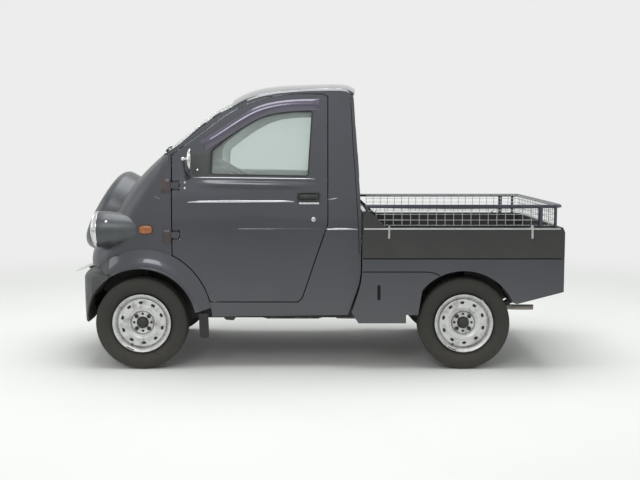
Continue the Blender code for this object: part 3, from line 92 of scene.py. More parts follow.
def finish(name, look):
    # One material: a base tone, a second tone in soft patches, a grain that
    # gives bump and uneven gloss, and dust that gathers low down.
    made = bpy.data.materials.new(name)
    made.use_nodes = True
    tree = made.node_tree
    shader = tree.nodes["Principled BSDF"]
    for key, value in look.get("sockets", {}).items():
        shader.inputs[key].default_value = value
    shader.inputs["Metallic"].default_value = look.get("metallic", 0)
    place = addNode(tree, "TexCoord").outputs["Object"]
    patches = addNode(tree, "TexNoise", {"Scale": perMetre(look["patchMm"]), "Detail": 4,
                                         "Roughness": 0.6}, {"Vector": place})
    grainKind = look.get("grainKind", "TexNoise")
    scale = perMetre(look["grainMm"])
    if grainKind == "TexNoise":
        grain = addNode(tree, "TexNoise", {"Scale": scale, "Detail": 3}, {"Vector": place})
        grainValue = grain.outputs["Fac"]
    elif grainKind == "TexVoronoi":
        grain = addNode(tree, "TexVoronoi", {"Scale": scale}, {"Vector": place})
        grainValue = grain.outputs[look.get("grainOutput", "Distance")]
    else:
        warp = addNode(tree, "TexWave", {"Scale": scale / 2, "Distortion": 0.6,
                                         "bands_direction": "X"}, {"Vector": place})
        weft = addNode(tree, "TexWave", {"Scale": scale / 2, "Distortion": 0.6,
                                         "bands_direction": "Z"}, {"Vector": place})
        weave = addNode(tree, "Math", {"operation": "MULTIPLY"},
                        {0: warp.outputs["Fac"], 1: weft.outputs["Fac"]})
        grainValue = weave.outputs[0]
    spread = addNode(tree, "ValToRGB", {"stops": look.get("patchStops", (0.35, 0.7))},
                     {"Fac": patches.outputs["Fac"]})
    tone = addNode(tree, "Mix", {"data_type": "RGBA", 6: srgb(look["base"]),
                                 7: srgb(look["second"])}, {0: spread.outputs["Color"]})
    colour = tone.outputs[2]
    if look.get("fleck"):     # flakes, threads or spangle that change the tone itself
        strength = addNode(tree, "Math", {"operation": "MULTIPLY", 1: look["fleckShare"]},
                           {0: grainValue})
        colour = addNode(tree, "Mix", {"data_type": "RGBA", 7: srgb(look["fleck"])},
                         {0: strength.outputs[0], 6: colour}).outputs[2]
    if look.get("dust"):      # road dust: strongest at the sills, gone by dustTop
        height = addNode(tree, "SeparateXYZ", {}, {0: place})
        fade = addNode(tree, "MapRange", {"From Min": look["dustLow"], "From Max": look["dustTop"],
                                          "To Min": look["dustShare"], "To Max": 0.0},
                       {"Value": height.outputs["Z"]})
        film = addNode(tree, "Math", {"operation": "MULTIPLY"},
                       {0: fade.outputs[0], 1: patches.outputs["Fac"]})
        colour = addNode(tree, "Mix", {"data_type": "RGBA", 7: srgb(look["dust"])},
                         {0: film.outputs[0], 6: colour}).outputs[2]
    tree.links.new(colour, shader.inputs["Base Color"])
    low, high = look["rough"]
    gloss = addNode(tree, "MapRange", {"From Min": 0.3, "From Max": 0.7, "To Min": low,
                                       "To Max": high}, {"Value": patches.outputs["Fac"]})
    tree.links.new(gloss.outputs[0], shader.inputs["Roughness"])
    bump = addNode(tree, "Bump", {"Strength": look.get("bump", 0.2),
                                  "Distance": look.get("depthMm", 0.3) / 1000},
                   {"Height": grainValue})
    tree.links.new(bump.outputs[0], shader.inputs["Normal"])
    return made


def clear(name, look):
    # Clear glass or moulded lens: the body tint and a little waviness
    made = bpy.data.materials.new(name)
    made.use_nodes = True
    tree = made.node_tree
    shader = tree.nodes["Principled BSDF"]
    shader.inputs["Transmission Weight"].default_value = look.get("clear", 1)
    shader.inputs["IOR"].default_value = look["ior"]
    place = addNode(tree, "TexCoord").outputs["Object"]
    wave = addNode(tree, "TexNoise", {"Scale": perMetre(look["waveMm"]), "Detail": 2},
                   {"Vector": place})
    tint = addNode(tree, "Mix", {"data_type": "RGBA", 6: srgb(look["base"]),
                                 7: srgb(look["second"])}, {0: wave.outputs["Fac"]})
    tree.links.new(tint.outputs[2], shader.inputs["Base Color"])
    film = addNode(tree, "MapRange", {"From Min": 0.3, "From Max": 0.8, "To Min": 0.0,
                                      "To Max": look["film"]}, {"Value": wave.outputs["Fac"]})
    tree.links.new(film.outputs[0], shader.inputs["Roughness"])
    bump = addNode(tree, "Bump", {"Strength": look["bump"], "Distance": 0.0004},
                   {"Height": wave.outputs["Fac"]})
    tree.links.new(bump.outputs[0], shader.inputs["Normal"])
    return made


# materials

dust = {"dust": "6f6c66", "dustLow": 0.15, "dustTop": 0.62, "dustShare": 0.30}

# Base coat with aluminium flake under clear coat: deep blue-grey that turns
# violet-grey where it faces the light. Flake is 0.05 mm, drawn at 1.2 mm.
bodyPaint = finish("blue grey metallic base coat and clear coat", {
    "base": "373b3f", "second": "3d3e44", "patchMm": 420, "grainMm": 1.2,
    "fleck": "5b5b6a", "fleckShare": 0.30, "metallic": 0.62, "rough": (0.26, 0.33),
    "bump": 0.03, "depthMm": 0.05, **dust,
    "sockets": {"Coat Weight": 0.85, "Coat Roughness": 0.06, "Coat IOR": 1.5}})
# The same paint gone red-brown and dull over the hinge covers
coverPaint = finish("weathered paint on the hinge covers", {
    "base": "3a3132", "second": "443a3a", "patchMm": 24, "grainMm": 1.6, "metallic": 0.3,
    "rough": (0.34, 0.5), "bump": 0.2, "depthMm": 0.15, "sockets": {"Coat Weight": 0.4}})
# Grained ABS sheet, sun-faded: flat black with a soft sheen; grain is 0.8 mm
boardPlastic = finish("grained ABS board", {
    "base": "262627", "second": "2c2c2b", "patchMm": 160, "grainMm": 2.4,
    "rough": (0.46, 0.62), "bump": 0.35, "depthMm": 0.25, "dust": "6c675c", "dustLow": 0.62,
    "dustTop": 0.84, "dustShare": 0.16, "sockets": {"IOR": 1.52}})
# Moulded polypropylene bumper: greyer, chalky where it is rubbed
bumperPlastic = finish("moulded polypropylene", {
    "base": "3c3d3e", "second": "494a4a", "patchMm": 70, "grainMm": 2.0, "rough": (0.42, 0.62),
    "bump": 0.3, "depthMm": 0.2, "dust": "77736a", "dustLow": 0.25, "dustTop": 0.50,
    "dustShare": 0.4, "sockets": {"IOR": 1.49}})
# Painted ABS pods and wheel cover: smooth, dark, with fine swirl marks
podPlastic = finish("smooth painted ABS", {
    "base": "43464a", "second": "4f5254", "patchMm": 60, "grainMm": 3.0, "metallic": 0.5,
    "rough": (0.36, 0.46), "bump": 0.04, "depthMm": 0.1,
    "sockets": {"IOR": 1.52, "Coat Weight": 0.5, "Coat Roughness": 0.3}})
# Vulcanised rubber, tyres: brown-black, dull, dusty in the tread
tyreRubber = finish("vulcanised tyre rubber", {
    "base": "2a2a27", "second": "363530", "patchMm": 26, "grainMm": 1.6, "rough": (0.72, 0.90),
    "bump": 0.35, "depthMm": 0.25, "dust": "6d675c", "dustLow": 0.0, "dustTop": 0.30,
    "dustShare": 0.30, "sockets": {"IOR": 1.5}})
# Extruded rubber seals: satin black
sealRubber = finish("extruded EPDM rubber", {
    "base": "1f2021", "second": "2a2a2a", "patchMm": 40, "grainMm": 1.4, "rough": (0.5, 0.66),
    "bump": 0.15, "depthMm": 0.1, "sockets": {"IOR": 1.5}})
# Silver lacquer on pressed steel: bright, with brake dust in soft brown patches
wheelSilver = finish("silver lacquer on pressed steel", {
    "base": "d0d1d0", "second": "9b9995", "patchMm": 55, "patchStops": (0.48, 0.72),
    "grainMm": 1.5, "metallic": 0.55, "rough": (0.34, 0.5), "bump": 0.08, "depthMm": 0.1,
    "sockets": {"Coat Weight": 0.2, "Coat Roughness": 0.25}})
# Chassis black: brushed-on satin enamel with a dry film of road dirt
chassisBlack = finish("satin chassis enamel", {
    "base": "27282a", "second": "3a3936", "patchMm": 45, "grainMm": 2.5, "rough": (0.5, 0.75),
    "bump": 0.3, "depthMm": 0.3, "dust": "5f5a50", "dustLow": 0.10, "dustTop": 0.60,
    "dustShare": 0.4, "sockets": {"IOR": 1.5}})
# Sand-cast aluminium: pale grey, pebbled, oil-stained
castAluminium = finish("sand cast aluminium", {
    "base": "84858a", "second": "5c5a56", "patchMm": 38, "grainMm": 3.2, "metallic": 0.8,
    "rough": (0.48, 0.7), "bump": 0.5, "depthMm": 0.5})
# Aluminised steel pipe: dull silver, tea-coloured by heat
pipeSteel = finish("aluminised steel", {
    "base": "a7a49d", "second": "93887a", "patchMm": 60, "grainMm": 2.0, "metallic": 0.85,
    "rough": (0.38, 0.6), "bump": 0.2, "depthMm": 0.2})
# Hot-dip galvanising: pale grey with zinc spangle about 6 mm across
galvanised = finish("hot dip galvanised steel", {
    "base": "b9bcbb", "second": "9fa3a2", "patchMm": 30, "grainKind": "TexVoronoi",
    "grainOutput": "Distance", "grainMm": 6, "fleck": "d7dad8", "fleckShare": 0.5,
    "metallic": 0.75, "rough": (0.34, 0.5), "bump": 0.1, "depthMm": 0.1})
# Powder coat on the rack's bars: blue-grey, slight orange peel at 2 mm
rackCoat = finish("powder coated steel bar", {
    "base": "3a3b47", "second": "454655", "patchMm": 90, "grainMm": 2.0, "metallic": 0.3,
    "rough": (0.3, 0.42), "bump": 0.15, "depthMm": 0.15,
    "sockets": {"Coat Weight": 0.3, "Coat Roughness": 0.2}})
# Nickel-chrome plating: mirror bright with a breath of haze
chromePlate = finish("nickel chrome plating", {
    "base": "dcdddd", "second": "cfd0d1", "patchMm": 25, "grainMm": 2.0, "metallic": 1.0,
    "rough": (0.05, 0.14), "bump": 0.01, "depthMm": 0.05})
# Stove enamel on the blank plate: pale, even, a little chalky
plateEnamel = finish("stove enamel on sheet", {
    "base": "d9dbd6", "second": "cfd0c8", "patchMm": 50, "grainMm": 2.0, "rough": (0.3, 0.42),
    "bump": 0.05, "depthMm": 0.1, "sockets": {"IOR": 1.5}})
# Vacuum-formed PVC skin over foam: charcoal with a leather grain of 2 mm
dashVinyl = finish("vacuum formed PVC skin", {
    "base": "3d3f42", "second": "47484a", "patchMm": 120, "grainKind": "TexVoronoi",
    "grainMm": 2.2, "rough": (0.5, 0.62), "bump": 0.5, "depthMm": 0.25,
    "sockets": {"IOR": 1.52}})
# Injection-moulded switchgear and wheel rim: satin black, nearly grainless
satinBlack = finish("injection moulded PP", {
    "base": "242526", "second": "2e2f30", "patchMm": 30, "grainMm": 1.6, "rough": (0.36, 0.5),
    "bump": 0.12, "depthMm": 0.1, "sockets": {"IOR": 1.49}})
# Woven polyester seat cloth: threads of 0.9 mm, drawn at 3 mm so that they show
seatCloth = finish("woven polyester", {
    "base": "4a4c52", "second": "565860", "patchMm": 90, "grainKind": "TexWave", "grainMm": 3.0,
    "fleck": "7b7e86", "fleckShare": 0.45, "rough": (0.85, 0.95), "bump": 0.6, "depthMm": 0.5,
    "sockets": {"Sheen Weight": 0.35, "Sheen Roughness": 0.4}})
# Needle-felt floor mat, 3 mm loops
floorFelt = finish("needle felt", {
    "base": "323336", "second": "3f3f40", "patchMm": 70, "grainMm": 3.0, "rough": (0.9, 0.97),
    "bump": 0.8, "depthMm": 0.8, "sockets": {"Sheen Weight": 0.2}})
# Vacuum-metallised reflector: bright, slightly rippled
reflectorFilm = finish("vacuum metallised film", {
    "base": "e4e5e6", "second": "d2d4d6", "patchMm": 18, "grainMm": 4.0, "metallic": 1.0,
    "rough": (0.08, 0.16), "bump": 0.1, "depthMm": 0.2})
# Moulded acrylic lenses, coloured through: wet gloss over fine 3 mm prisms
acrylic = {"grainKind": "TexVoronoi", "grainMm": 3.0, "rough": (0.12, 0.2), "bump": 0.3,
           "depthMm": 0.3, "sockets": {"IOR": 1.49, "Coat Weight": 0.6}}
amberLens = finish("amber acrylic", {
    "base": "a8622c", "second": "8e4f22", "patchMm": 16, **acrylic})
redLens = finish("red acrylic", {"base": "9c1d1a", "second": "84130f", "patchMm": 20, **acrylic})
milkLens = finish("clear acrylic over white", {
    "base": "d8d8d4", "second": "c5c6c3", "patchMm": 20, **acrylic})
# Pale green tinted float glass. A fifth of it is a near-white diffuse veil instead of clear: a
# painted reflection of the bright room
floatGlass = clear("green tinted float glass with a painted reflection veil", {
    "base": "eff6f4", "second": "ebf4f1", "ior": 1.12, "waveMm": 300, "film": 0.02, "bump": 0.02,
    "clear": 0.80})
# Light grey woven-backed vinyl round the windows and under the roof
liningVinyl = finish("pale lining vinyl", {
    "base": "cdd3cf", "second": "c4cbc7", "patchMm": 120, "grainKind": "TexVoronoi",
    "grainMm": 2.0, "rough": (0.6, 0.72), "bump": 0.25, "depthMm": 0.2, "sockets": {"IOR": 1.5}})
# Smoked acrylic rain visor: dark, violet, very glossy
smokedAcrylic = finish("smoked acrylic", {
    "base": "5b5766", "second": "65616f", "patchMm": 200, "grainMm": 4.0, "metallic": 0.8,
    "rough": (0.16, 0.22), "bump": 0.02, "depthMm": 0.05,
    "sockets": {"IOR": 1.49, "Coat Weight": 0.8, "Coat Roughness": 0.08}})
# Flat primer and painted shade deep in a panel gap: near black, dead flat
gapPrimerAndShade = finish("flat primer and painted shade in the panel gaps", {
    "base": "0e0f10", "second": "151516", "patchMm": 40, "grainMm": 2.0, "rough": (0.85, 0.95),
    "bump": 0.1, "depthMm": 0.1, "sockets": {"IOR": 1.4}})
# Painted highlight: pale metallic paint on the pressed lines, lighter than the body paint, standing
# in for the light they catch
paintedHighlight = finish("painted highlight on pressed edges", {
    "base": "b4b6ba", "second": "a2a4aa", "patchMm": 90, "grainMm": 1.2, "metallic": 0.75,
    "rough": (0.28, 0.36), "bump": 0.03, "depthMm": 0.05,
    "sockets": {"Coat Weight": 0.6, "Coat Roughness": 0.1}})
# Bare steel under baked-on brake dust, inside the rims, made dark enough to be painted shade behind
# the vents
brakeDustAndShade = finish("steel under brake dust and painted shade", {
    "base": "2e2c2a", "second": "45403a", "patchMm": 40, "grainMm": 2.0, "metallic": 0.3,
    "rough": (0.6, 0.8), "bump": 0.2, "depthMm": 0.2})
# The body paint on the nose, dulled by grit and sun: thin clear coat, wide sheen
nosePaint = finish("grit dulled metallic paint", {
    "base": "3b3e42", "second": "434449", "patchMm": 420, "grainMm": 1.2,
    "fleck": "5f5e6a", "fleckShare": 0.30, "metallic": 0.5, "rough": (0.40, 0.50),
    "bump": 0.03, "depthMm": 0.05, **dust,
    "sockets": {"Coat Weight": 0.3, "Coat Roughness": 0.25, "Coat IOR": 1.5}})
# Clear pressed glass of the headlamps
lampGlass = clear("pressed clear glass", {
    "base": "f3f5f4", "second": "eef1f0", "ior": 1.35, "waveMm": 40, "film": 0.03, "bump": 0.05})

dressing = {
    bodyPaint: ("bed_floor", "cab_rear_wall", "cab_side_left", "cab_side_right", "door_left",
                "door_right", "front_fender_left", "front_fender_right",
                "quarter_panel_left", "quarter_panel_right", "rear_panel", "roof_panel"),
    nosePaint: ("nose_panel",),
    boardPlastic: ("bed_side_left", "bed_side_right", "tailgate"),
    bumperPlastic: ("front_bumper",),
    podPlastic: ("headlamp_left", "headlamp_right", "spare_wheel"),
    chassisBlack: ("chassis_frame", "front_crossmember", "fuel_tank", "rear_axle", "seat_base",
                   "wheelhouse_left", "wheelhouse_right", "cab_floor", "knuckle_left",
                   "knuckle_right"),
    castAluminium: ("engine",),
    pipeSteel: ("exhaust",),
    wheelSilver: ("rim_front_left", "rim_front_right", "rim_rear_left", "rim_rear_right"),
    dashVinyl: ("dashboard",),
    satinBlack: ("steering_wheel",),
    floatGlass: ("door_glass_left", "door_glass_right", "rear_window", "windscreen"),
    chromePlate: ("mirror_left", "mirror_right"),
    plateEnamel: ("front_plate",),
    rackCoat: ("rack_frame",),
    redLens: ("tail_lamp_left", "tail_lamp_right"),
}
for look, names in dressing.items():
    for name in names:
        node = nodes[name]
        if node.material_slots:
            node.material_slots[0].material = look
        else:
            node.data.materials.append(look)
print("materials:", len(bpy.data.materials))


# shapes

def refine(name, look, body, sharp=32, levels=2, pull=0.75):
    # A smooth copy of a faceted panel. Each triangle bulges to follow the
    # normals at its corners; edges stay shared and hard edges stay hard.
    source = nodes[name].data
    source.calc_loop_triangles()
    points = np.array([v.co for v in source.vertices])
    points, weld = np.unique(np.round(points, 5), axis=0, return_inverse=True)
    weld = weld.reshape(-1)
    tris = np.array([[weld[i] for i in t.vertices] for t in source.loop_triangles])
    tris = tris[(tris[:, 0] != tris[:, 1]) & (tris[:, 1] != tris[:, 2])
                & (tris[:, 2] != tris[:, 0])]
    places = points[tris]
    cross = np.cross(places[:, 1] - places[:, 0], places[:, 2] - places[:, 0])
    area = np.linalg.norm(cross, axis=1)
    flat = cross / np.maximum(area, 1e-12)[:, None]
    group = list(range(len(tris) * 3))

    def root(k):
        while group[k] != k:
            group[k] = group[group[k]]
            k = group[k]
        return k
    edges = {}
    for f, tri in enumerate(tris):
        for k in range(3):
            a, b = int(tri[k]), int(tri[(k + 1) % 3])
            edges.setdefault((min(a, b), max(a, b)), []).append((f, {a: k, b: (k + 1) % 3}))
    limit = math.cos(math.radians(sharp))
    for (a, b), users in edges.items():
        if len(users) == 2:
            (f, fk0), (g, gk0) = users
            if flat[f].dot(flat[g]) > limit or min(area[f], area[g]) < 1e-9:
                for v in (a, b):
                    group[root(f * 3 + fk0[v])] = root(g * 3 + gk0[v])
    sums = np.zeros((len(group), 3))
    roots = np.array([root(k) for k in range(len(group))])
    for k in range(3):
        ahead = places[:, (k + 1) % 3] - places[:, k]
        back = places[:, (k + 2) % 3] - places[:, k]
        cosine = (ahead * back).sum(1) / np.maximum(np.linalg.norm(ahead, axis=1)
                                                    * np.linalg.norm(back, axis=1), 1e-12)
        weight = np.arccos(np.clip(cosine, -1, 1)) * area
        np.add.at(sums, roots[k::3], flat * weight[:, None])
    normals = sums[roots].reshape(-1, 3, 3)
    normals /= np.maximum(np.linalg.norm(normals, axis=2), 1e-12)[:, :, None]
    steps = 2 ** levels
    grid = [(i / steps, j / steps, (steps - i - j) / steps)
            for i in range(steps + 1) for j in range(steps + 1 - i)]
    number = {(round(a * steps), round(b * steps)): k for k, (a, b, c) in enumerate(grid)}
    small = []
    for i in range(steps):
        for j in range(steps - i):
            small.append((number[i, j], number[i + 1, j], number[i, j + 1]))
            if i + j < steps - 1:
                small.append((number[i + 1, j], number[i + 1, j + 1], number[i, j + 1]))
    share = np.array(grid)
    straight = np.einsum("sk,fkc->fsc", share, places)
    drop = ((straight[:, :, None, :] - places[:, None]) * normals[:, None]).sum(3)
    bulge = -pull * np.einsum("sk,fsk,fkc->fsc", share, drop, normals)
    bent = np.einsum("sk,fkc->fsc", share, normals)
    bent /= np.maximum(np.linalg.norm(bent, axis=2), 1e-12)[:, :, None]
    keys, which = np.unique(np.round(straight.reshape(-1, 3), 6), axis=0, return_inverse=True)
    which = which.reshape(-1)
    moved, users = np.zeros((len(keys), 3)), np.zeros(len(keys))
    np.add.at(moved, which, bulge.reshape(-1, 3))
    np.add.at(users, which, 1)
    low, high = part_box(name)
    final = np.clip(keys + moved / users[:, None], np.array(low), np.array(high))
    corner = np.arange(len(tris))[:, None, None] * len(grid) + np.array(small)[None]
    corner = corner.reshape(-1, 3)
    faces = which[corner]
    good = ((faces[:, 0] != faces[:, 1]) & (faces[:, 1] != faces[:, 2])
            & (faces[:, 2] != faces[:, 0]))
    mesh = bpy.data.meshes.new("smooth_" + name)
    mesh.from_pydata(final.tolist(), [], faces[good].tolist())
    mesh.polygons.foreach_set("use_smooth", [True] * len(mesh.polygons))
    mesh.normals_split_custom_set(bent.reshape(-1, 3)[corner[good]].reshape(-1, 3).tolist())
    mesh.materials.append(look)
    made = bpy.data.objects.new("smooth_" + name, mesh)
    bpy.context.scene.collection.objects.link(made)
    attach(made, body)
    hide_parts(name)
    smoothed[name] = mesh
    return made


smoothed = {}
lookOf = {name: look for look, names in dressing.items() for name in names}
curved = {
    "truck": ("nose_panel", "roof_panel", "front_bumper", "front_fender_left",
              "front_fender_right", "cab_side_left", "cab_side_right", "cab_rear_wall",
              "quarter_panel_left", "quarter_panel_right", "headlamp_left", "headlamp_right",
              "windscreen", "spare_wheel", "exhaust", "rack_frame", "dashboard", "engine",
              "wheelhouse_left", "wheelhouse_right", "fuel_tank", "rear_axle"),
    "left_door": ("door_left", "door_glass_left"),
    "right_door": ("door_right", "door_glass_right"),
    "steering": ("steering_wheel",),
    "left_knuckle": ("knuckle_left",),
    "right_knuckle": ("knuckle_right",),
}
for body, names in curved.items():
    for name in names:
        refine(name, lookOf[name], body)
print("smooth skins:", len(smoothed))


def piece(name, bm, look, body, smooth=40, bevel=0):
    # A named piece from a finished mesh, riding on its body
    bmesh.ops.recalc_face_normals(bm, faces=bm.faces[:])
    mesh = bpy.data.meshes.new(name)
    bm.to_mesh(mesh)
    bm.free()
    made = bpy.data.objects.new(name, mesh)
    bpy.context.scene.collection.objects.link(made)
    mesh.materials.append(look)
    if bevel:
        step = made.modifiers.new("edges", "BEVEL")
        step.width = bevel
        step.segments = 2
        step.limit_method = "ANGLE"
        step.angle_limit = math.radians(35)
    if smooth:
        mesh.polygons.foreach_set("use_smooth", [True] * len(mesh.polygons))
        mesh.set_sharp_from_angle(angle=math.radians(smooth))
    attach(made, body)
    return made


def addBox(bm, low, high, turn=None, centre=None):
    # A block in world axes, turned about its own middle if asked
    low, high = Vector(low), Vector(high)
    middle = (low + high) / 2
    made = bmesh.ops.create_cube(bm, size=1)["verts"]
    for vert in made:
        offset = Vector([vert.co[k] * (high[k] - low[k]) for k in range(3)])
        vert.co = (centre or middle) + (turn @ offset if turn else offset)
    return made


def addTurned(bm, profile, centre, axis, segments=24, closed=False):
    # Spins (along, radius) points about an axis
    axis = Vector(axis).normalized()
    across = axis.orthogonal().normalized()
    third = axis.cross(across)
    centre = Vector(centre)
    rings = []
    for along, radius in profile:
        if radius < 1e-6:
            rings.append([bm.verts.new(centre + axis * along)])
        else:
            rings.append([bm.verts.new(centre + axis * along + radius
                                       * (across * math.cos(math.tau * k / segments)
                                          + third * math.sin(math.tau * k / segments)))
                          for k in range(segments)])
    pairs = list(zip(rings, rings[1:])) + ([(rings[-1], rings[0])] if closed else [])
    for a, b in pairs:
        for k in range(segments):
            n = (k + 1) % segments
            corners = [a[k % len(a)], a[n % len(a)], b[n % len(b)], b[k % len(b)]]
            unique = list(dict.fromkeys(corners))
            if len(unique) > 2:
                bm.faces.new(unique)


def addSweep(bm, points, section, normals=None, closed=False):
    # Runs a closed section (out, across) along points; normals say which way is out
    points = [Vector(p) for p in points]
    count = len(points)
    loops = []
    out = None
    for k, point in enumerate(points):
        ahead = points[(k + 1) % count] if closed or k < count - 1 else point
        behind = points[k - 1] if closed or k else point
        along = (ahead - behind).normalized()
        if normals:
            out = Vector(normals[k])
        elif out is None:
            out = along.orthogonal()
        out = (out - along * out.dot(along)).normalized()
        across = along.cross(out)
        loops.append([bm.verts.new(point + out * a + across * b) for a, b in section])
    pairs = list(zip(loops, loops[1:])) + ([(loops[-1], loops[0])] if closed else [])
    for a, b in pairs:
        for k in range(len(section)):
            bm.faces.new((a[k - 1], a[k], b[k], b[k - 1]))
    if not closed:
        bm.faces.new(loops[0])
        bm.faces.new(loops[-1][::-1])


def bridge(bm, rings):
    # Joins closed rings of points, one after another
    rows = [[bm.verts.new(p) for p in ring] for ring in rings]
    for a, b in zip(rows, rows[1:]):
        for k in range(len(a)):
            bm.faces.new((a[k - 1], a[k], b[k], b[k - 1]))
    return rows


def addShell(bm, rings):
    # Closed rings joined in order, with a face over each end
    rows = bridge(bm, rings)
    bm.faces.new(rows[-1])
    bm.faces.new(rows[0][::-1])


def addPlate(bm, edge, y0, y1):
    # A flat shape given in (x, z), from one y to another
    addShell(bm, [[Vector((x, y, z)) for x, z in edge] for y in (y0, y1)])


# The next four make a whole piece from one shape

def shell(name, look, body, smooth, rings, bevel=0):
    bm = bmesh.new()
    addShell(bm, rings)
    return piece(name, bm, look, body, smooth, bevel)


def turned(name, look, body, smooth, *shape):
    bm = bmesh.new()
    addTurned(bm, *shape)
    return piece(name, bm, look, body, smooth)


def swept(name, look, body, smooth, *shape):
    bm = bmesh.new()
    addSweep(bm, *shape)
    return piece(name, bm, look, body, smooth)


def block(name, look, body, smooth, bevel, low, high):
    bm = bmesh.new()
    addBox(bm, low, high)
    return piece(name, bm, look, body, smooth, bevel)


def circle(radius, sides=8, across=None):
    # A section for a sweep: round, or an ellipse if its half width across is given
    return [(radius * math.cos(math.tau * k / sides),
             (across or radius) * math.sin(math.tau * k / sides)) for k in range(sides)]


def ridge(low, high, wide, narrow):
    # A section with a flat top: half width wide at its foot and narrow above
    return [(low, -wide), (high, -narrow), (high, narrow), (low, wide)]


def sector(centre, radii, start, end, steps):
    # A band of an arc in (x, z), from start to end in degrees
    turns = [math.radians(start + (end - start) * k / steps) for k in range(steps + 1)]
    (cx, cz), (low, high) = centre, radii
    return ([(cx + low * math.cos(t), cz + low * math.sin(t)) for t in turns]
            + [(cx + high * math.cos(t), cz + high * math.sin(t)) for t in turns[::-1]])


def rounded(points, radius, steps=4, closed=False):
    # Replaces each corner of a route by a short curve
    points = [Vector(p) for p in points]
    if closed:
        points = [points[-1]] + points + [points[0]]
    made = [] if closed else [points[0]]
    for before, corner, after in zip(points, points[1:], points[2:]):
        a, b = before - corner, after - corner
        start = corner + a.normalized() * min(radius, a.length * 0.48)
        end = corner + b.normalized() * min(radius, b.length * 0.48)
        for s in range(steps + 1):
            t = s / steps
            made.append(start.lerp(corner, t).lerp(corner.lerp(end, t), t))
    return made if closed else made + [points[-1]]


def evenly(points, spacing, closed=False):
    # Places points at an even spacing along a route
    points = [Vector(p) for p in points]
    if closed:
        points = points + [points[0]]
    lengths = [0]
    for a, b in zip(points, points[1:]):
        lengths.append(lengths[-1] + (b - a).length)
    count = max(2, round(lengths[-1] / spacing))
    made = []
    k = 0
    for step in range(count if closed else count + 1):
        want = lengths[-1] * step / count
        while k < len(points) - 2 and lengths[k + 1] < want:
            k += 1
        span = lengths[k + 1] - lengths[k] or 1
        made.append(points[k].lerp(points[k + 1], (want - lengths[k]) / span))
    return made


skins = {}


def skin(*names):
    # The CAD surfaces that a piece is laid on
    if names not in skins:
        corners, faces = [], []
        for name in names:
            base = len(corners)
            mesh = smoothed.get(name) or nodes[name].data
            corners += [v.co.copy() for v in mesh.vertices]
            faces += [tuple(base + i for i in f.vertices) for f in mesh.polygons]
        skins[names] = BVHTree.FromPolygons(corners, faces)
    return skins[names]


def hit(names, start, direction):
    place, normal, face, distance = skin(*names).ray_cast(Vector(start),
                                                          Vector(direction).normalized())
    if place is None:
        place, normal, face, distance = skin(*names).find_nearest(Vector(start))
    if normal.dot(Vector(direction)) > 0:
        normal = -normal
    return place, normal


def onSide(names, side, x, z):
    # The point of a side panel at (x, z), seen from outside
    return hit(names, (x, side * 2, z), (0, -side, 0))


def laidRoute(names, side, route, lift=0.0):
    places, normals = [], []
    for x, z in route:
        place, normal = onSide(names, side, x, z)
        places.append(place + normal * lift)
        normals.append(normal)
    return places, normals


def flatRoute(route, spacing, corner=0):
    # Evenly spaced (x, z) places on a side panel, its corners eased if asked
    points = [(x, 0, z) for x, z in route]
    points = rounded(points, corner) if corner else points
    return [(p.x, p.z) for p in evenly(points, spacing)]


def laidPatch(names, side, ring, steps, inside=False):
    # Rings of a patch on a side panel: a share of its size and a lift for each
    middle = sum(ring, Vector()) / len(ring)
    rings = []
    for grow, lift in steps:
        row = []
        for p in ring:
            q = middle + (p - middle) * grow
            place, normal = (hit(names, (q.x, 0, q.z), (0, side, 0)) if inside
                             else onSide(names, side, q.x, q.z))
            row.append(place + normal * lift)
        rings.append(row)
    return rings


sides = (("left", -1), ("right", 1))
doorBody = {"left": "left_door", "right": "right_door"}
doorNames = {w: ("door_" + w,) for w, s in sides}
cabNames = {w: ("cab_side_" + w,) for w, s in sides}
noseNames = ("nose_panel",)


def bothSides(*makers):
    for make in makers:
        for word, side in sides:
            make(word, side)


# tyres

tyre = {"radius": 0.263, "halfWidth": 0.072, "bead": 0.167, "steps": 200,
        "grooves": (-0.030, -0.011, 0.011, 0.030), "grooveWide": 0.0045, "grooveDeep": 0.007,
        "sipes": 50, "sipeDeep": 0.005, "ribs": (0.195, 0.222)}


def tyreSection():
    # (across, radius, zone) from the inner bead over the tread to the outer one
    half, top, bead = tyre["halfWidth"], tyre["radius"], tyre["bead"]
    wall = [(0.60, 0.002), (0.74, 0.012), (0.86, 0.024), (0.94, 0.036), (0.985, 0.046),
            (1.0, 0.054), (0.995, 0.0555), (0.995, 0.0585), (0.985, 0.066), (0.955, 0.076),
            (0.925, 0.083), (0.88, 0.0885), (0.82, 0.0925)]
    left = [(-a * half, bead + r, "wall") for a, r in wall]
    right = [(a * half, bead + r, "wall") for a, r in wall[::-1]]
    tread = []
    for place in tyre["grooves"]:
        edge = tyre["grooveWide"] / 2
        for y, zone in ((place - edge - 0.0045, "rib"), (place - edge, "lip"),
                        (place - edge * 0.6, "groove"), (place + edge * 0.6, "groove"),
                        (place + edge, "lip"), (place + edge + 0.0045, "rib")):
            tread.append((y, zone))
    tread = [(-0.055, "shoulder"), (-0.047, "shoulder")] + tread
    tread += [(0.047, "shoulder"), (0.055, "shoulder")]
    middle = []
    for y, zone in sorted(tread):
        drop = 0.0022 * (abs(y) / 0.055) ** 2
        middle.append((y, top - 0.0005 - drop, zone))
    return left + middle + right


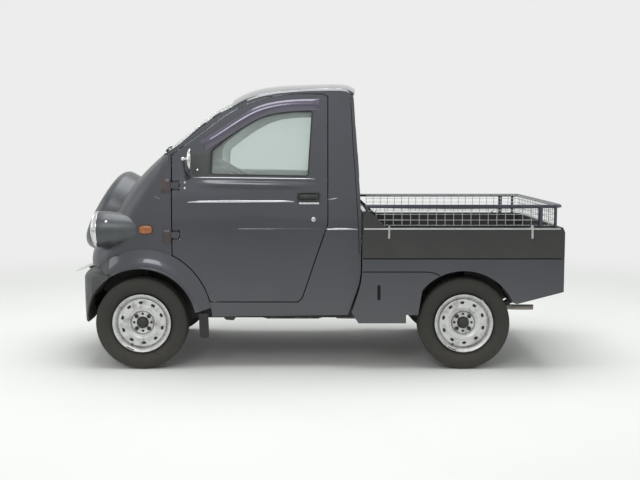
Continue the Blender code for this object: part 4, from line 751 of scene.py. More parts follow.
def makeTyre(name, centre, side, body):
    bm = bmesh.new()
    section = tyreSection()
    steps = tyre["steps"]
    cell = steps // tyre["sipes"]
    loops = []
    for k in range(steps):
        angle = math.tau * k / steps
        zig = 0.0018 * (1 if (k // 2) % 2 else -1)     # the grooves run in a slight zigzag
        ring = []
        for y, r, zone in section:
            if zone == "groove":
                r -= tyre["grooveDeep"]
            elif zone in ("rib", "shoulder") and k % cell == 0:
                r -= tyre["sipeDeep"] * (1 if zone == "shoulder" else 0.45)
            if zone in ("groove", "lip"):
                y += zig
            if zone == "wall" and tyre["ribs"][0] < r < tyre["ribs"][1]:
                r += 0.0004 * (k % 2)                  # fine radial ribbing of the sidewall
            ring.append(bm.verts.new((centre[0] + r * math.sin(angle), centre[1] + side * y,
                                      centre[2] + r * math.cos(angle))))
        loops.append(ring)
    for a, b in zip(loops, loops[1:] + loops[:1]):
        for j in range(len(section)):
            bm.faces.new((a[j - 1], a[j], b[j], b[j - 1]))
    made = piece("tyre_detail_" + name, bm, tyreRubber, body, 35)
    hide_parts("tyre_" + name)


wheelPlaces = {}
for name in ("front_left", "front_right", "rear_left", "rear_right"):
    low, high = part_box("tyre_" + name)
    wheelPlaces[name] = (low + high) / 2
    makeTyre(name, wheelPlaces[name], -1 if "left" in name else 1, "wheel_" + name)
print("tyres")


# wheels: pressed disc with ten vents in a rolled rim, nuts, hub cap, valve

rim = {"steps": 200, "vents": 10, "turn": 8, "thick": 0.003,
       "outer": ((0.054, 0.1672), (0.058, 0.1668), (0.0595, 0.1650), (0.0592, 0.1630),
                 (0.0575, 0.1605), (0.0555, 0.1570), (0.0530, 0.1535), (0.0495, 0.1505),
                 (0.0440, 0.1480), (0.0380, 0.1462), (0.0330, 0.1448), (0.0260, 0.1441),
                 (0.0215, 0.1430), (0.0210, 0.1405), (0.0260, 0.1385), (0.0335, 0.1365),
                 (0.0345, 0.1340), (0.0340, 0.1300), (0.0330, 0.1265)),
       "inner": ((0.0335, 0.1060), (0.0350, 0.1010), (0.0365, 0.0960), (0.0370, 0.0910),
                 (0.0360, 0.0860), (0.0335, 0.0815), (0.0315, 0.0785), (0.0318, 0.0760),
                 (0.0325, 0.0735), (0.0315, 0.0710), (0.0280, 0.0685), (0.0235, 0.0655),
                 (0.0200, 0.0625), (0.0185, 0.0590), (0.0180, 0.0520), (0.0180, 0.0440),
                 (0.0185, 0.0380), (0.0200, 0.0320)),
       "barrel": ((0.0500, 0.1640), (0.0440, 0.1560), (0.0250, 0.1530), (0.0050, 0.1490),
                  (-0.0200, 0.1510), (-0.0400, 0.1560), (-0.0480, 0.1640), (-0.0530, 0.1672),
                  (-0.0570, 0.1650), (-0.0550, 0.1620), (-0.0440, 0.1525), (-0.0200, 0.1480),
                  (0.0050, 0.1460), (0.0250, 0.1445), (0.0300, 0.1455), (0.0440, 0.1500)),
       "drum": ((0.0180, 0.0700), (0.0210, 0.0800), (0.0240, 0.1000), (0.0240, 0.1220),
                (0.0200, 0.1280), (-0.0300, 0.1280), (-0.0300, 0.1240), (0.0160, 0.1240),
                (0.0200, 0.1180), (0.0200, 0.1000), (0.0160, 0.0780), (0.0140, 0.0700)),
       "ventWide": 0.0255, "ventTall": 0.0170,
       "lips": ((1.0, 0.0), (0.90, -0.0010), (0.84, -0.0034), (0.83, -0.0070))}


def makeRim(name, centre, side, body):
    steps, vents = rim["steps"], rim["vents"]
    bm = bmesh.new()

    def at(along, radius, turn):
        angle = math.tau * turn / steps
        return (centre.x + radius * math.sin(angle), centre.y + side * along,
                centre.z + radius * math.cos(angle))

    def lathe(profile):
        rings = [[bm.verts.new(at(a, r, k)) for k in range(steps)] for a, r in profile]
        for a, b in zip(rings, rings[1:]):
            for k in range(steps):
                n = (k + 1) % steps
                bm.faces.new((a[k], a[n], b[n], b[k]))
        return rings
    top = lathe(rim["outer"])[-1]
    low = lathe(rim["inner"])[0]
    (aTop, rTop), (aLow, rLow) = rim["outer"][-1], rim["inner"][0]
    span, rows = steps // vents, 6
    middle = (rTop + rLow) / 2
    posts = {}
    for k in range(vents):                             # the plain strips between the vents
        turn = k * span + rim["turn"]
        column = [top[turn % steps]]
        for i in range(1, rows):
            t = i / rows
            along, radius = aTop + (aLow - aTop) * t, rTop + (rLow - rTop) * t
            column.append(bm.verts.new(at(along, radius, turn)))
        posts[k] = column + [low[turn % steps]]
    for k in range(vents):
        start = k * span + rim["turn"]
        left, right = posts[k], posts[(k + 1) % vents]
        upper = [top[(start + i) % steps] for i in range(span + 1)]
        lower = [low[(start + i) % steps] for i in range(span + 1)]
        border = upper[:-1] + right[:-1] + lower[::-1][:-1] + left[::-1][:-1]
        flat = ([(i / span * 2 - 1, 1) for i in range(span)]
                + [(1, 1 - i / rows * 2) for i in range(rows)]
                + [(1 - i / span * 2, -1) for i in range(span)]
                + [(-1, i / rows * 2 - 1) for i in range(rows)])
        before = border
        for grow, sink in rim["lips"]:
            ring = []
            for u, v in flat:
                angle = math.atan2(v, u)
                c, s = math.cos(angle), math.sin(angle)
                reach = (abs(c) ** 3.2 + abs(s) ** 3.2) ** (-1 / 3.2) * grow
                r = middle + s * reach * rim["ventTall"] / 2
                taper = 1 + 0.16 * s * reach           # the vents are wider towards the rim
                turn = c * reach * rim["ventWide"] / 2 * taper / middle / math.tau * steps
                ring.append(bm.verts.new(at(0.0333 + sink, r, start + span / 2 + turn)))
            for i in range(len(ring)):
                bm.faces.new((before[i - 1], before[i], ring[i], ring[i - 1]))
            before = ring
    bmesh.ops.recalc_face_normals(bm, faces=bm.faces[:])
    bmesh.ops.solidify(bm, geom=bm.faces[:], thickness=rim["thick"])
    made = piece("rim_detail_" + name, bm, wheelSilver, body, 38)
    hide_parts("rim_" + name)
    # The barrel and the drum are dark as brake dust and as painted shade seen through the vents
    for part, profile in (("rim_barrel_", rim["barrel"]), ("brake_drum_", rim["drum"])):
        turned(part + name, brakeDustAndShade, body, 38, profile, centre, (0, side, 0), 96, True)


wheelFit = {"ring": 0.0495, "nuts": 4, "nut": 0.0095, "hole": 0.0075, "cap": 0.033,
            "face": 0.0182, "valve": 206, "weight": 196}      # the last two in degrees from the top


def makeWheelFittings(name, centre, side, body):
    outward = Vector((0, side, 0))
    face = wheelFit["face"]

    def around(radius, turn, along):
        angle = math.radians(turn)
        return centre + outward * along + Vector((radius * math.sin(angle), 0,
                                                  radius * math.cos(angle)))
    bm = bmesh.new()
    for k in range(wheelFit["nuts"]):
        size = wheelFit["nut"]
        place = around(wheelFit["ring"], 45 + 360 * k / wheelFit["nuts"], face)
        addTurned(bm, ((-0.002, size * 1.35), (0.001, size * 1.35), (0.003, size * 1.1),
                       (0.012, size), (0.015, size * 0.8), (0.015, size * 0.5),
                       (0.008, size * 0.45), (0.008, 0)), place, outward, 6)
    piece("wheel_nuts_" + name, bm, chassisBlack, body, 30)
    bm = bmesh.new()
    for k in range(wheelFit["nuts"]):                  # black discs between the nuts: painted shade in the hand holes
        place = around(wheelFit["ring"], 360 * k / wheelFit["nuts"], face)
        size = wheelFit["hole"]
        addTurned(bm, ((-0.002, size), (0.0012, size), (0.0012, size * 0.8), (0.0004, size * 0.7),
                       (0.0004, 0)), place, outward, 16)
    cap = wheelFit["cap"]
    addTurned(bm, ((0.000, cap + 0.002), (0.004, cap + 0.002), (0.012, cap), (0.020, cap * 0.93),
                   (0.026, cap * 0.80), (0.030, cap * 0.55), (0.0315, cap * 0.25), (0.032, 0)),
              centre + outward * (face - 0.002), outward, 36)
    piece("hub_cap_" + name, bm, satinBlack, body, 50)
    low, tip = around(0.1385, wheelFit["valve"], 0.028), around(0.1335, wheelFit["valve"], 0.048)
    length = (tip - low).length
    turned("valve_" + name, sealRubber, body, 40,
           ((0, 0.0055), (0.010, 0.0050), (0.012, 0.0036), (length, 0.0036), (length + 0.001, 0)),
           low, tip - low, 10)
    route = [around(0.1600, wheelFit["weight"] + 2.2 * k, 0.0590) for k in range(9)]
    swept("balance_weight_" + name, castAluminium, body, 0, route,
          [(-0.003, -0.003), (0.0008, -0.003), (0.0008, 0.003), (-0.003, 0.003)],
          [outward] * len(route))


for name, centre in wheelPlaces.items():
    makeRim(name, centre, -1 if "left" in name else 1, "wheel_" + name)
    makeWheelFittings(name, centre, -1 if "left" in name else 1, "wheel_" + name)
print("wheels")


# headlamps: bowl, bulb cap, chrome ring and the pod's fixing screw

lamp = {"radius": 0.104, "ring": 0.0955, "domeDeep": 0.028, "screw": (-1.152, 0.846),
        "bezel": ((0.002, -0.001), (0.002, 0.0022), (0.010, 0.0030), (0.019, 0.0026),
                  (0.023, 0.0016), (0.023, -0.001)),
        "seamBack": 0.025, "steps": 72}


def makeHeadlamp(word, side):
    pod = ("headlamp_" + word,)
    low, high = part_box("headlamp_lens_" + word)
    centre = Vector((high.x, (low.y + high.y) / 2, (low.z + high.z) / 2))
    ahead = Vector((-1, 0, 0))
    r = lamp["radius"] * 0.905                         # the glass ends inside its ring
    outer = [(lamp["domeDeep"] * (1 - t ** 2.2) + 0.0005, r * t)
             for t in [k / 8 for k in range(9)]]
    inner = [(a - 0.0030, max(0, q - 0.0015)) for a, q in outer[::-1]]
    inner[0] = (0.0005, r - 0.003)
    made = turned("lamp_glass_" + word, lampGlass, "truck", 50, outer + inner, centre, ahead, 48)
    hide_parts("headlamp_lens_" + word)
    turned("lamp_bowl_" + word, reflectorFilm, "truck", 50,
           ((0.0008, 0.014), (0.0012, 0.045), (0.0035, 0.066), (0.0085, 0.080), (0.0090, 0.082),
            (0.0006, 0.086), (0.0004, 0.014)), centre, ahead, 48, True)
    turned("lamp_bulb_cap_" + word, chromePlate, "truck", 50,
           ((0.0006, 0.016), (0.014, 0.016), (0.017, 0.012), (0.018, 0)), centre, ahead, 24)
    route = [centre + Vector((-0.0015, math.cos(t) * lamp["ring"], math.sin(t) * lamp["ring"]))
             for t in [math.tau * k / 64 for k in range(64)]]
    swept("lamp_ring_" + word, chromePlate, "truck", 60, route, circle(0.0042), [ahead] * 64, True)
    place, normal = onSide(pod, side, *lamp["screw"])
    turned("pod_screw_" + word, chromePlate, "truck", 40,
           ((-0.002, 0.0075), (0.001, 0.0075), (0.0025, 0.006), (0.003, 0.003), (0.0012, 0.0028),
            (0.0012, 0)), place, normal, 16)

    def aroundPod(back, lift):
        # A ring on the pod, at a distance behind the lens
        ring = []
        for k in range(lamp["steps"]):
            t = math.tau * k / lamp["steps"]
            out = Vector((0, math.cos(t), math.sin(t)))
            place, normal = hit(pod, centre + Vector((back, 0, 0)) + out * 0.2, -out)
            ring.append(place + out * lift)
        return ring
    bm = bmesh.new()
    bridge(bm, [aroundPod(back, lift) for back, lift in lamp["bezel"]])
    piece("lamp_bezel_" + word, bm, chromePlate, "truck", 40)
    route = aroundPod(lamp["seamBack"], 0)             # seam between pod and its bezel
    middle = centre + Vector((lamp["seamBack"], 0, 0))
    swept("pod_seam_" + word, sealRubber, "truck", 0, route, ridge(-0.001, 0.0006, 0.0012, 0.0008),
          [(p - middle).normalized() for p in route], True)


bothSides(makeHeadlamp)
print("headlamps")


# glass seals

sealShape = {"window": ((-0.553, 1.247), (-0.559, 1.114), (-0.011, 1.104), (0.013, 1.466),
                        (-0.084, 1.466), (-0.198, 1.453), (-0.279, 1.430), (-0.373, 1.379),
                        (-0.467, 1.316)),
             "corner": 0.007, "lap": 0.006, "proud": 0.0016, "deep": 0.022}


def aboutWindow(names, side, grow, spacing=0.012, inside=False):
    # Points round the window, moved outwards from its edge and laid on the door
    shape = rounded([(x, 0, z) for x, z in sealShape["window"]], sealShape["corner"], 4, True)
    route = evenly(shape, spacing, True)
    middle = sum(route, Vector()) / len(route)
    places, normals = [], []
    for k, p in enumerate(route):
        along = (route[(k + 1) % len(route)] - route[k - 1]).normalized()
        out = Vector((along.z, 0, -along.x))
        if out.dot(p - middle) < 0:
            out = -out
        q = p + out * max(grow, 0.008)
        if inside:
            place, normal = hit(names, (q.x, 0, q.z), (0, side, 0))
        else:
            place, normal = onSide(names, side, q.x, q.z)
        places.append(place + out * (grow - max(grow, 0.008)))
        normals.append(normal)
    return places, normals


def makeWindowTrim(word, side):
    names, body = doorNames[word], doorBody[word]
    # rubber run in the opening, with its thin lip over the paint
    rings = []
    for grow, lift in ((-0.002, -sealShape["deep"]), (-0.002, 0.0002), (0.001, sealShape["proud"]),
                       (sealShape["lap"], sealShape["proud"] * 0.7), (sealShape["lap"], -0.0006)):
        places, normals = aboutWindow(names, side, grow)
        rings.append([p + n * lift for p, n in zip(places, normals)])
    bm = bmesh.new()
    bridge(bm, rings + [rings[0]])
    bmesh.ops.remove_doubles(bm, verts=bm.verts[:], dist=1e-6)
    piece("window_seal_" + word, bm, sealRubber, body, 40)
    # pale lining round the opening inside the door
    rings = []
    for grow, lift in ((0.0, 0.0), (0.0, 0.004), (0.020, 0.006), (0.048, 0.004), (0.050, 0.0)):
        places, normals = aboutWindow(names, side, grow, 0.02, True)
        rings.append([p + n * lift for p, n in zip(places, normals)])
    bm = bmesh.new()
    bridge(bm, rings)
    piece("window_lining_" + word, bm, liningVinyl, body, 50)


bothSides(makeWindowTrim)

# rain visor: a bulged strip over the window, from the mirror to the rear post
visor = {"line": [(-0.604, 1.272), (-0.500, 1.336), (-0.395, 1.406), (-0.294, 1.462),
                  (-0.205, 1.488), (-0.090, 1.502), (0.056, 1.504)], "half": 0.033,
         "rise": ((-1.0, 0.0005), (-0.97, 0.0030), (-0.7, 0.0060), (-0.35, 0.0095), (-0.05, 0.0120),
                  (0.18, 0.0125), (0.38, 0.0115), (0.56, 0.0093), (0.72, 0.0066), (0.86, 0.0038),
                  (0.95, 0.0018), (1.0, 0.0004))}


def makeVisor(word, side):
    route = evenly(rounded([(x, 0, z) for x, z in visor["line"]], 0.2, 6), 0.02)
    last = len(route) - 1
    rings = []
    for k, p in enumerate(route):
        along = (route[min(k + 1, last)] - route[max(k - 1, 0)]).normalized()
        out = Vector((-along.z, 0, along.x))
        end = min(1, k / 2 + 0.15, last - k + 0.15)    # it flattens at both ends
        ring = []
        for share, rise in visor["rise"]:
            q = p + out * share * visor["half"]
            place, normal = onSide(doorNames[word], side, q.x, q.z)
            ring.append(place + normal * (0.0005 + rise * end))
        for share in (1, -1):
            q = p + out * share * visor["half"]
            ring.append(onSide(doorNames[word], side, q.x, q.z)[0])
        rings.append(ring)
    shell("rain_visor_" + word, smokedAcrylic, doorBody[word], 50, rings)


bothSides(makeVisor)


def borderOf(name, toward):
    # The border of the faces of a node that look one way, in order
    mesh = nodes[name].data
    toward = Vector(toward).normalized()
    following = {}
    for face in mesh.polygons:
        if face.normal.dot(toward) > 0.3:
            keys = [tuple(round(c, 5) for c in mesh.vertices[i].co) for i in face.vertices]
            for a, b in zip(keys, keys[1:] + keys[:1]):
                if a in following.get(b, []):
                    following[b].remove(a)
                else:
                    following.setdefault(a, []).append(b)
    start = next(a for a, ends in following.items() if ends)
    loop = [start]
    while following[loop[-1]]:
        step = following[loop[-1]].pop()
        if step == start:
            break
        loop.append(step)
    return [Vector(p) for p in loop]


screenSeal = {"half": 0.008, "proud": 0.0028, "inset": 0.004}


def makePaneSeal(name, toward):
    ring = evenly(borderOf(name, toward), 0.015, True)
    middle = sum(ring, Vector()) / len(ring)
    places, normals = [], []
    for p in ring:
        inner = p.lerp(middle, screenSeal["inset"] / (middle - p).length)
        place, normal, face, gap = skin(name).find_nearest(inner)
        if normal.dot(Vector(toward)) < 0:
            normal = -normal
        places.append(place)
        normals.append(normal)
    half, proud = screenSeal["half"], screenSeal["proud"]
    section = [(-0.003, -half), (proud * 0.4, -half), (proud, -half * 0.5), (proud, half * 0.5),
               (proud * 0.4, half), (-0.003, half)]
    swept(name + "_seal", sealRubber, "truck", 50, places, section, normals, True)


makePaneSeal("windscreen", (-0.7, 0, 0.7))

rearSeal = {"half": 0.400, "low": 1.080, "high": 1.390, "corner": 0.048, "middle": 1.235}


def makeRearSeal():
    h, a, b = (rearSeal[k] for k in ("half", "low", "high"))
    ring = rounded([(0, -h, a), (0, h, a), (0, h, b), (0, -h, b)], rearSeal["corner"], 6, True)
    route = evenly(ring, 0.03, True)
    laid = [hit(("cab_rear_wall",), (1, p.y * 1.01, p.z + (0.008 if p.z > rearSeal["middle"]
                                                          else -0.008)), (-1, 0, 0)) for p in route]
    swept("rear_window_seal", sealRubber, "truck", 60,
          [Vector((q.x, p.y, p.z)) for p, (q, n) in zip(route, laid)], circle(0.009),
          [n for q, n in laid], True)


makeRearSeal()
print("seals")


# side details of the cab

handle = {"x": (-0.073, 0.060), "z": (0.954, 1.012),
          "dish": ((0, 0.0002), (0.0005, 0.0030), (0.0035, 0.0042), (0.0070, 0.0036),
                   (0.0100, 0.0012))}
keyLock = (0.022, 0.858)
backSeam = [(0.2310, 1.550), (0.2440, 1.300), (0.2620, 1.042), (0.2770, 0.800), (0.2810, 0.660)]
belt = {"x": -0.655, "long": 0.700, "z": 1.0815, "fall": 0.013, "deep": 0.052, "rise": 0.0038,
        "steps": (35, 10)}
# Pressed lines: panel, finish, run in (x, z), half height, rise, swell near the middle
# Most of these lines are finished in pale paint as a painted highlight along the crease
beads = {
    "door_swage_": ("door", paintedHighlight, [(-0.690, 0.956), (-0.088, 0.959)],
                    0.0075, 0.0072, 0.35),
    "cab_swage_": ("cab", paintedHighlight, [(0.108, 0.973), (0.134, 0.974), (0.156, 0.980)],
                   0.0050, 0.0045, 0),
    "door_swage_low_": ("door", bodyPaint, [(-0.420, 0.804), (0.066, 0.804)],
                        0.0045, 0.0022, 0),
    "cab_swage_low_": ("cab", paintedHighlight, [(0.084, 0.802), (0.272, 0.802)],
                       0.0075, 0.0070, 0),
    "door_belt_line_": ("door", paintedHighlight, [(-0.655, 1.0945), (0.030, 1.0860)],
                        0.0042, 0.0042, 0),
    "roof_rail_": ("roof", paintedHighlight,
                   [(-0.354, 1.529), (-0.267, 1.555), (-0.181, 1.5695), (-0.094, 1.578),
                    (-0.007, 1.583), (0.079, 1.585), (0.166, 1.585), (0.209, 1.580),
                    (0.242, 1.560)], 0.0100, 0.0065, 0),
}


def makeBead(name, look, body, names, side, route, half, proud, swell):
    # A pressed line: flat below, turned up above so that it catches the light
    places, normals = laidRoute(names, side, flatRoute(route, 0.02))
    last = len(places) - 1
    rings = []
    for k, (place, normal) in enumerate(zip(places, normals)):
        up = (Vector((0, 0, 1)) - normal * normal.z).normalized()
        fade = min(1, k / 3 + 0.05, (last - k) / 3 + 0.05)
        fuller = 1 + swell * math.exp(-((k / max(last, 1) - 0.42) / 0.16) ** 2)
        section = ((-0.0006, -half * 0.5), (proud * fade, -half * 0.3),
                   (proud * fade, -half * 0.1), (-0.0006, half * (0.4 + 0.6 * fade) * fuller))
        rings.append([place + normal * a + up * b for a, b in section])
    shell(name, look, body, 60, rings)


def makeBeads(word, side):
    door, cab = doorNames[word], cabNames[word]
    panels = {"door": (door, doorBody[word]), "cab": (cab, "truck"),
              "roof": (cab + ("roof_panel",), "truck")}
    for name, (panel, look, *shape) in beads.items():
        names, body = panels[panel]
        makeBead(name + word, look, body, names, side, *shape)


def makeBeltSwell(word, side):
    # The soft swell of the door below its window
    across, down = belt["steps"]
    bm = bmesh.new()
    rows = []
    for k in range(across + 1):
        x = belt["x"] + belt["long"] * k / across
        end = min(1, k / 9, (across - k) / 9)
        row = []
        for t in [j / down for j in range(down + 1)]:
            z = belt["z"] - belt["fall"] * k / across - belt["deep"] * t
            place, normal = onSide(doorNames[word], side, x, z)
            rise = 0.0002 + belt["rise"] * end * math.sin(math.pi * t ** 0.8) ** 2
            row.append(bm.verts.new(place + normal * rise))
        rows.append(row)
    for a, b in zip(rows, rows[1:]):
        for j in range(down):
            bm.faces.new((a[j], a[j + 1], b[j + 1], b[j]))
    piece("door_belt_swell_" + word, bm, bodyPaint, doorBody[word], 60)


def makeBackSeam(word, side):
    # Seam of the back panel, along the rear edge of the cab: a dark ridge laid on as painted shade
    # in the gap
    places, normals = laidRoute(cabNames[word], side, flatRoute(backSeam, 0.02))
    swept("cab_back_seam_" + word, gapPrimerAndShade, "truck", 0, places,
          ridge(-0.001, 0.0004, 0.0024, 0.0018), normals)


def makeHandle(word, side):
    # A dark dished seat, the pull over it, a silver strip under it as a painted highlight on the
    # lower edge, and the key lock
    door, body = doorNames[word], doorBody[word]
    (x0, x1), (z0, z1) = handle["x"], handle["z"]
    half, tall = (x1 - x0) / 2, (z1 - z0) / 2
    middle, normal = onSide(door, side, (x0 + x1) / 2, (z0 + z1) / 2)
    up = (Vector((0, 0, 1)) - normal * normal.z).normalized()
    along = Vector((1, 0, 0))

    def at(a, b, lift):
        return middle + along * a + up * b + normal * lift
    edge = rounded([at(-half, -tall, 0), at(half, -tall, 0), at(half, tall, 0),
                    at(-half, tall, 0)], 0.014, 5, True)
    flat = [((p - middle).dot(along), (p - middle).dot(up)) for p in edge]
    shell("handle_seat_" + word, satinBlack, body, 40,
          [[at(a * (1 - inset / half), b * (1 - inset / tall), lift) for a, b in flat]
           for inset, lift in handle["dish"]])
    pull = [at(-half * 0.80 + t * half * 1.60, tall * 0.10,
               0.006 + 0.010 * math.sin(math.pi * t) ** 0.6) for t in [k / 12 for k in range(13)]]
    swept("handle_pull_" + word, satinBlack, body, 50, pull, circle(0.004, 12, 0.0115),
          [normal] * 13)
    # The bright silver strip is a painted highlight on the lower edge of the recess
    lipHighlightRoute = [at(-half * 0.80 + half * 1.7 * k / 10, -tall - 0.0050, 0.0026) for k in range(11)]
    swept("handle_lip_highlight_" + word, wheelSilver, body, 50, lipHighlightRoute, circle(0.0034, 8, 0.0052),
          [normal] * 11)
    place, normal = onSide(door, side, *keyLock)
    bm = bmesh.new()
    addTurned(bm, ((-0.001, 0.0125), (0.0015, 0.0125), (0.0030, 0.0110), (0.0036, 0.0085),
                   (0.0026, 0.0080), (0.0026, 0)), place, normal, 24)
    addBox(bm, (-0.0008, -0.0040, -0.0006), (0.0008, 0.0040, 0.0006),
           normal.to_track_quat("Z", "Y").to_matrix(), place + normal * 0.0028)
    piece("key_lock_" + word, bm, chromePlate, body, 40)


bothSides(makeBeads, makeBeltSwell, makeBackSeam, makeHandle)


# black quarter panel at the front corner of the door's window, where the mirror sits
sail = {"shape": [(-0.664, 1.106), (-0.566, 1.106), (-0.561, 1.244), (-0.600, 1.246),
                  (-0.654, 1.232)],
        "steps": ((1.0, -0.0005), (1.0, 0.0022), (0.97, 0.0032), (0.6, 0.0036))}


def makeSail(word, side):
    shape = rounded([(x, 0, z) for x, z in sail["shape"]], 0.006, 3, True)
    shell("sail_panel_" + word, bumperPlastic, doorBody[word], 30,
          laidPatch(doorNames[word], side, shape, sail["steps"]))


mirror = {"centre": (-0.659, 0.7050, 1.1985), "half": (0.0200, 0.0360, 0.0600)}


def makeMirror(word, side):
    # Chrome shell over the mirror's head, with its knuckle in front
    x, y, z = mirror["centre"]
    centre = Vector((x, side * y, z))
    bm = bmesh.new()
    bmesh.ops.create_uvsphere(bm, u_segments=32, v_segments=20, radius=1)
    for vert in bm.verts:
        flat = 0.5 if vert.co.x > 0 else 1             # the glass side is nearly flat
        vert.co = centre + vert.co * Vector((mirror["half"][0] * flat, *mirror["half"][1:]))
    housing = piece("mirror_shell_" + word, bm, chromePlate, doorBody[word], 60)
    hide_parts("mirror_" + word)
    elbow = centre + Vector((-0.043, -side * 0.020, 0.002))
    foot, normal = onSide(doorNames[word], side, -0.690, 1.100)
    bm = bmesh.new()
    addSweep(bm, rounded([centre + Vector((-0.006, 0, 0.004)), elbow], 0.01), circle(0.0078, 12))
    addTurned(bm, ((-0.011, 0), (-0.009, 0.0075), (0, 0.0105), (0.009, 0.0075), (0.011, 0)), elbow,
              (0, 0, 1), 16)
    piece("mirror_knuckle_" + word, bm, chromePlate, doorBody[word], 60)
    bm = bmesh.new()
    addSweep(bm, rounded([elbow, elbow + Vector((0.008, -side * 0.020, -0.070)),
                          foot + Vector((0, side * 0.020, 0.010)),
                          foot - Vector((0, side * 0.004, 0))], 0.016, 5), circle(0.0058, 10))
    addTurned(bm, ((-0.003, 0.019), (0.003, 0.019), (0.007, 0.014), (0.009, 0)), foot, normal, 20)
    piece("mirror_arm_" + word, bm, satinBlack, doorBody[word], 60)
    place, normal = onSide(doorNames[word], side, -0.634, 1.1365)
    turned("mirror_stud_" + word, chromePlate, doorBody[word], 50,
           ((-0.001, 0.0085), (0.008, 0.0085), (0.013, 0.0060), (0.014, 0)), place, normal, 20)


bothSides(makeSail, makeMirror)


# hinge covers on the nose, hinge bolts on the door

hinge = {"covers": ((-0.844, -0.786, 1.008, 1.092), (-0.833, -0.786, 0.718, 0.798)),
         "steps": ((1.0, -0.001), (1.0, 0.0035), (0.94, 0.0050), (0.5, 0.0058)),
         "bolts": (-0.742, -0.706), "drop": 0.016}


def makeHinges(word, side):
    for number, (x0, x1, z0, z1) in enumerate(hinge["covers"]):
        ring = rounded([(x0, 0, z0), (x1, 0, z0), (x1, 0, z1), (x0, 0, z1)], 0.008, 3, True)
        ring = evenly(ring, 0.008, True)
        shell("hinge_cover_%s_%d" % (word, number), coverPaint, "truck", 35,
              laidPatch(noseNames, side, ring, hinge["steps"]))
        bm = bmesh.new()
        heights = ((z0 + z1) / 2 + hinge["drop"], (z0 + z1) / 2 - hinge["drop"])
        for x in hinge["bolts"][:1 if number else 2]:
            for z in heights:
                place, normal = onSide(doorNames[word], side, x, z)
                addTurned(bm, ((-0.001, 0.0062), (0.0042, 0.0062), (0.0055, 0.0045), (0.0055, 0)),
                          place, normal, 6)
        piece("hinge_bolts_%s_%d" % (word, number), bm, chromePlate, doorBody[word], 30)


bothSides(makeHinges)

marker = {"x": (-0.966, -0.892), "z": 0.7995, "tall": 0.048, "proud": 0.013}


def makeMarker(word, side):
    x0, x1 = marker["x"]
    middle, normal = onSide(noseNames, side, (x0 + x1) / 2, marker["z"])
    up = (Vector((0, 0, 1)) - normal * normal.z).normalized()
    along = up.cross(normal).normalized()
    half, tall = (x1 - x0) / 2, marker["tall"] / 2

    def ringAt(grow, lift):
        pts = []
        for k in range(28):
            t = math.tau * k / 28
            a = math.copysign(abs(math.cos(t)) ** 0.55, math.cos(t)) * (half + grow)
            b = math.copysign(abs(math.sin(t)) ** 0.65, math.sin(t)) * (tall + grow)
            pts.append(middle + along * a + up * b + normal * lift)
        return pts

    shell("marker_base_" + word, sealRubber, "truck", 40,
          [ringAt(0.0025, -0.004), ringAt(0.0025, 0.0030), ringAt(0.0, 0.0040)])
    top = marker["proud"]
    shell("marker_lens_" + word, amberLens, "truck", 50,
          [ringAt(-0.0005, 0.0035), ringAt(-0.0010, top * 0.6), ringAt(-0.0040, top * 0.88),
           ringAt(-0.0100, top)])


nozzle = {"place": (-0.862, 0.978), "run": (0.92, 0, -0.38), "half": 0.016}


def makeNozzle(word, side):
    # Small raised oval on the nose's side, above the marker
    middle, normal = onSide(noseNames, side, *nozzle["place"])
    along = Vector(nozzle["run"]) * nozzle["half"]
    route = [middle + along * (k / 3 - 1) for k in range(7)]
    laid = [onSide(noseNames, side, p.x, p.z) for p in route]
    swept("washer_nozzle_" + word, bodyPaint, "truck", 60, [p for p, n in laid],
          circle(0.0032, 8, 0.0045), [n for p, n in laid])


bothSides(makeMarker, makeNozzle)
print("cab sides")


# wipers

wiper = {"pivots": (-0.360, 0.060), "reach": 0.205, "foot": 0.030, "half": 0.200}


def makeWiper(number, y):
    def onGlass(yy, up):
        low = glassLow(yy)
        start = low + Vector((up * 0.74, 0, up * 0.67))
        place, normal, face, gap = skin("windscreen").find_nearest(start)
        return place, (normal if normal.x < 0 else -normal)
    place, normal = onGlass(y, wiper["foot"])
    bm = bmesh.new()
    addTurned(bm, ((-0.006, 0.011), (0.008, 0.011), (0.011, 0.008), (0.012, 0)), place, normal, 18)
    tip, tipNormal = onGlass(y + wiper["reach"], wiper["foot"] + 0.028)
    mid, midNormal = onGlass(y + wiper["reach"] * 0.45, wiper["foot"] + 0.012)
    route = rounded([place + normal * 0.008, mid + midNormal * 0.013, tip + tipNormal * 0.011],
                    0.05, 5)
    addSweep(bm, route, [(0.002, -0.005), (0.002, 0.005), (-0.002, 0.005), (-0.002, -0.005)],
             [midNormal] * len(route))
    piece("wiper_arm_%d" % number, bm, satinBlack, "truck", 30)
    laid = [onGlass(y + wiper["reach"] + wiper["half"] * (k / 12 * 2 - 1),
                    wiper["foot"] + 0.022 + 0.010 * k / 12) for k in range(13)]
    swept("wiper_blade_%d" % number, sealRubber, "truck", 0, [p + n * 0.0045 for p, n in laid],
          [(-0.004, -0.0012), (0.002, -0.003), (0.005, -0.003), (0.005, 0.003), (0.002, 0.003),
           (-0.004, 0.0012)], [n for p, n in laid])


screenLow = sorted((p for p in borderOf("windscreen", (-0.7, 0, 0.7)) if p.z < 1.30),
                   key=lambda p: p.y)


def glassLow(y):
    # The lower edge of the windscreen at this y
    across = [p.y for p in screenLow]
    return Vector((np.interp(y, across, [p.x for p in screenLow]), y,
                   np.interp(y, across, [p.z for p in screenLow])))


for number, y in enumerate(wiper["pivots"]):
    makeWiper(number, y)
print("wipers")


# bed: mesh, hooks, covers, floor ribs

netting = {"pitch": 0.049, "wire": 0.0019, "levels": (0.8245, 0.8545, 0.887, 0.912),
           "inset": 0.0025, "corner": 0.060}


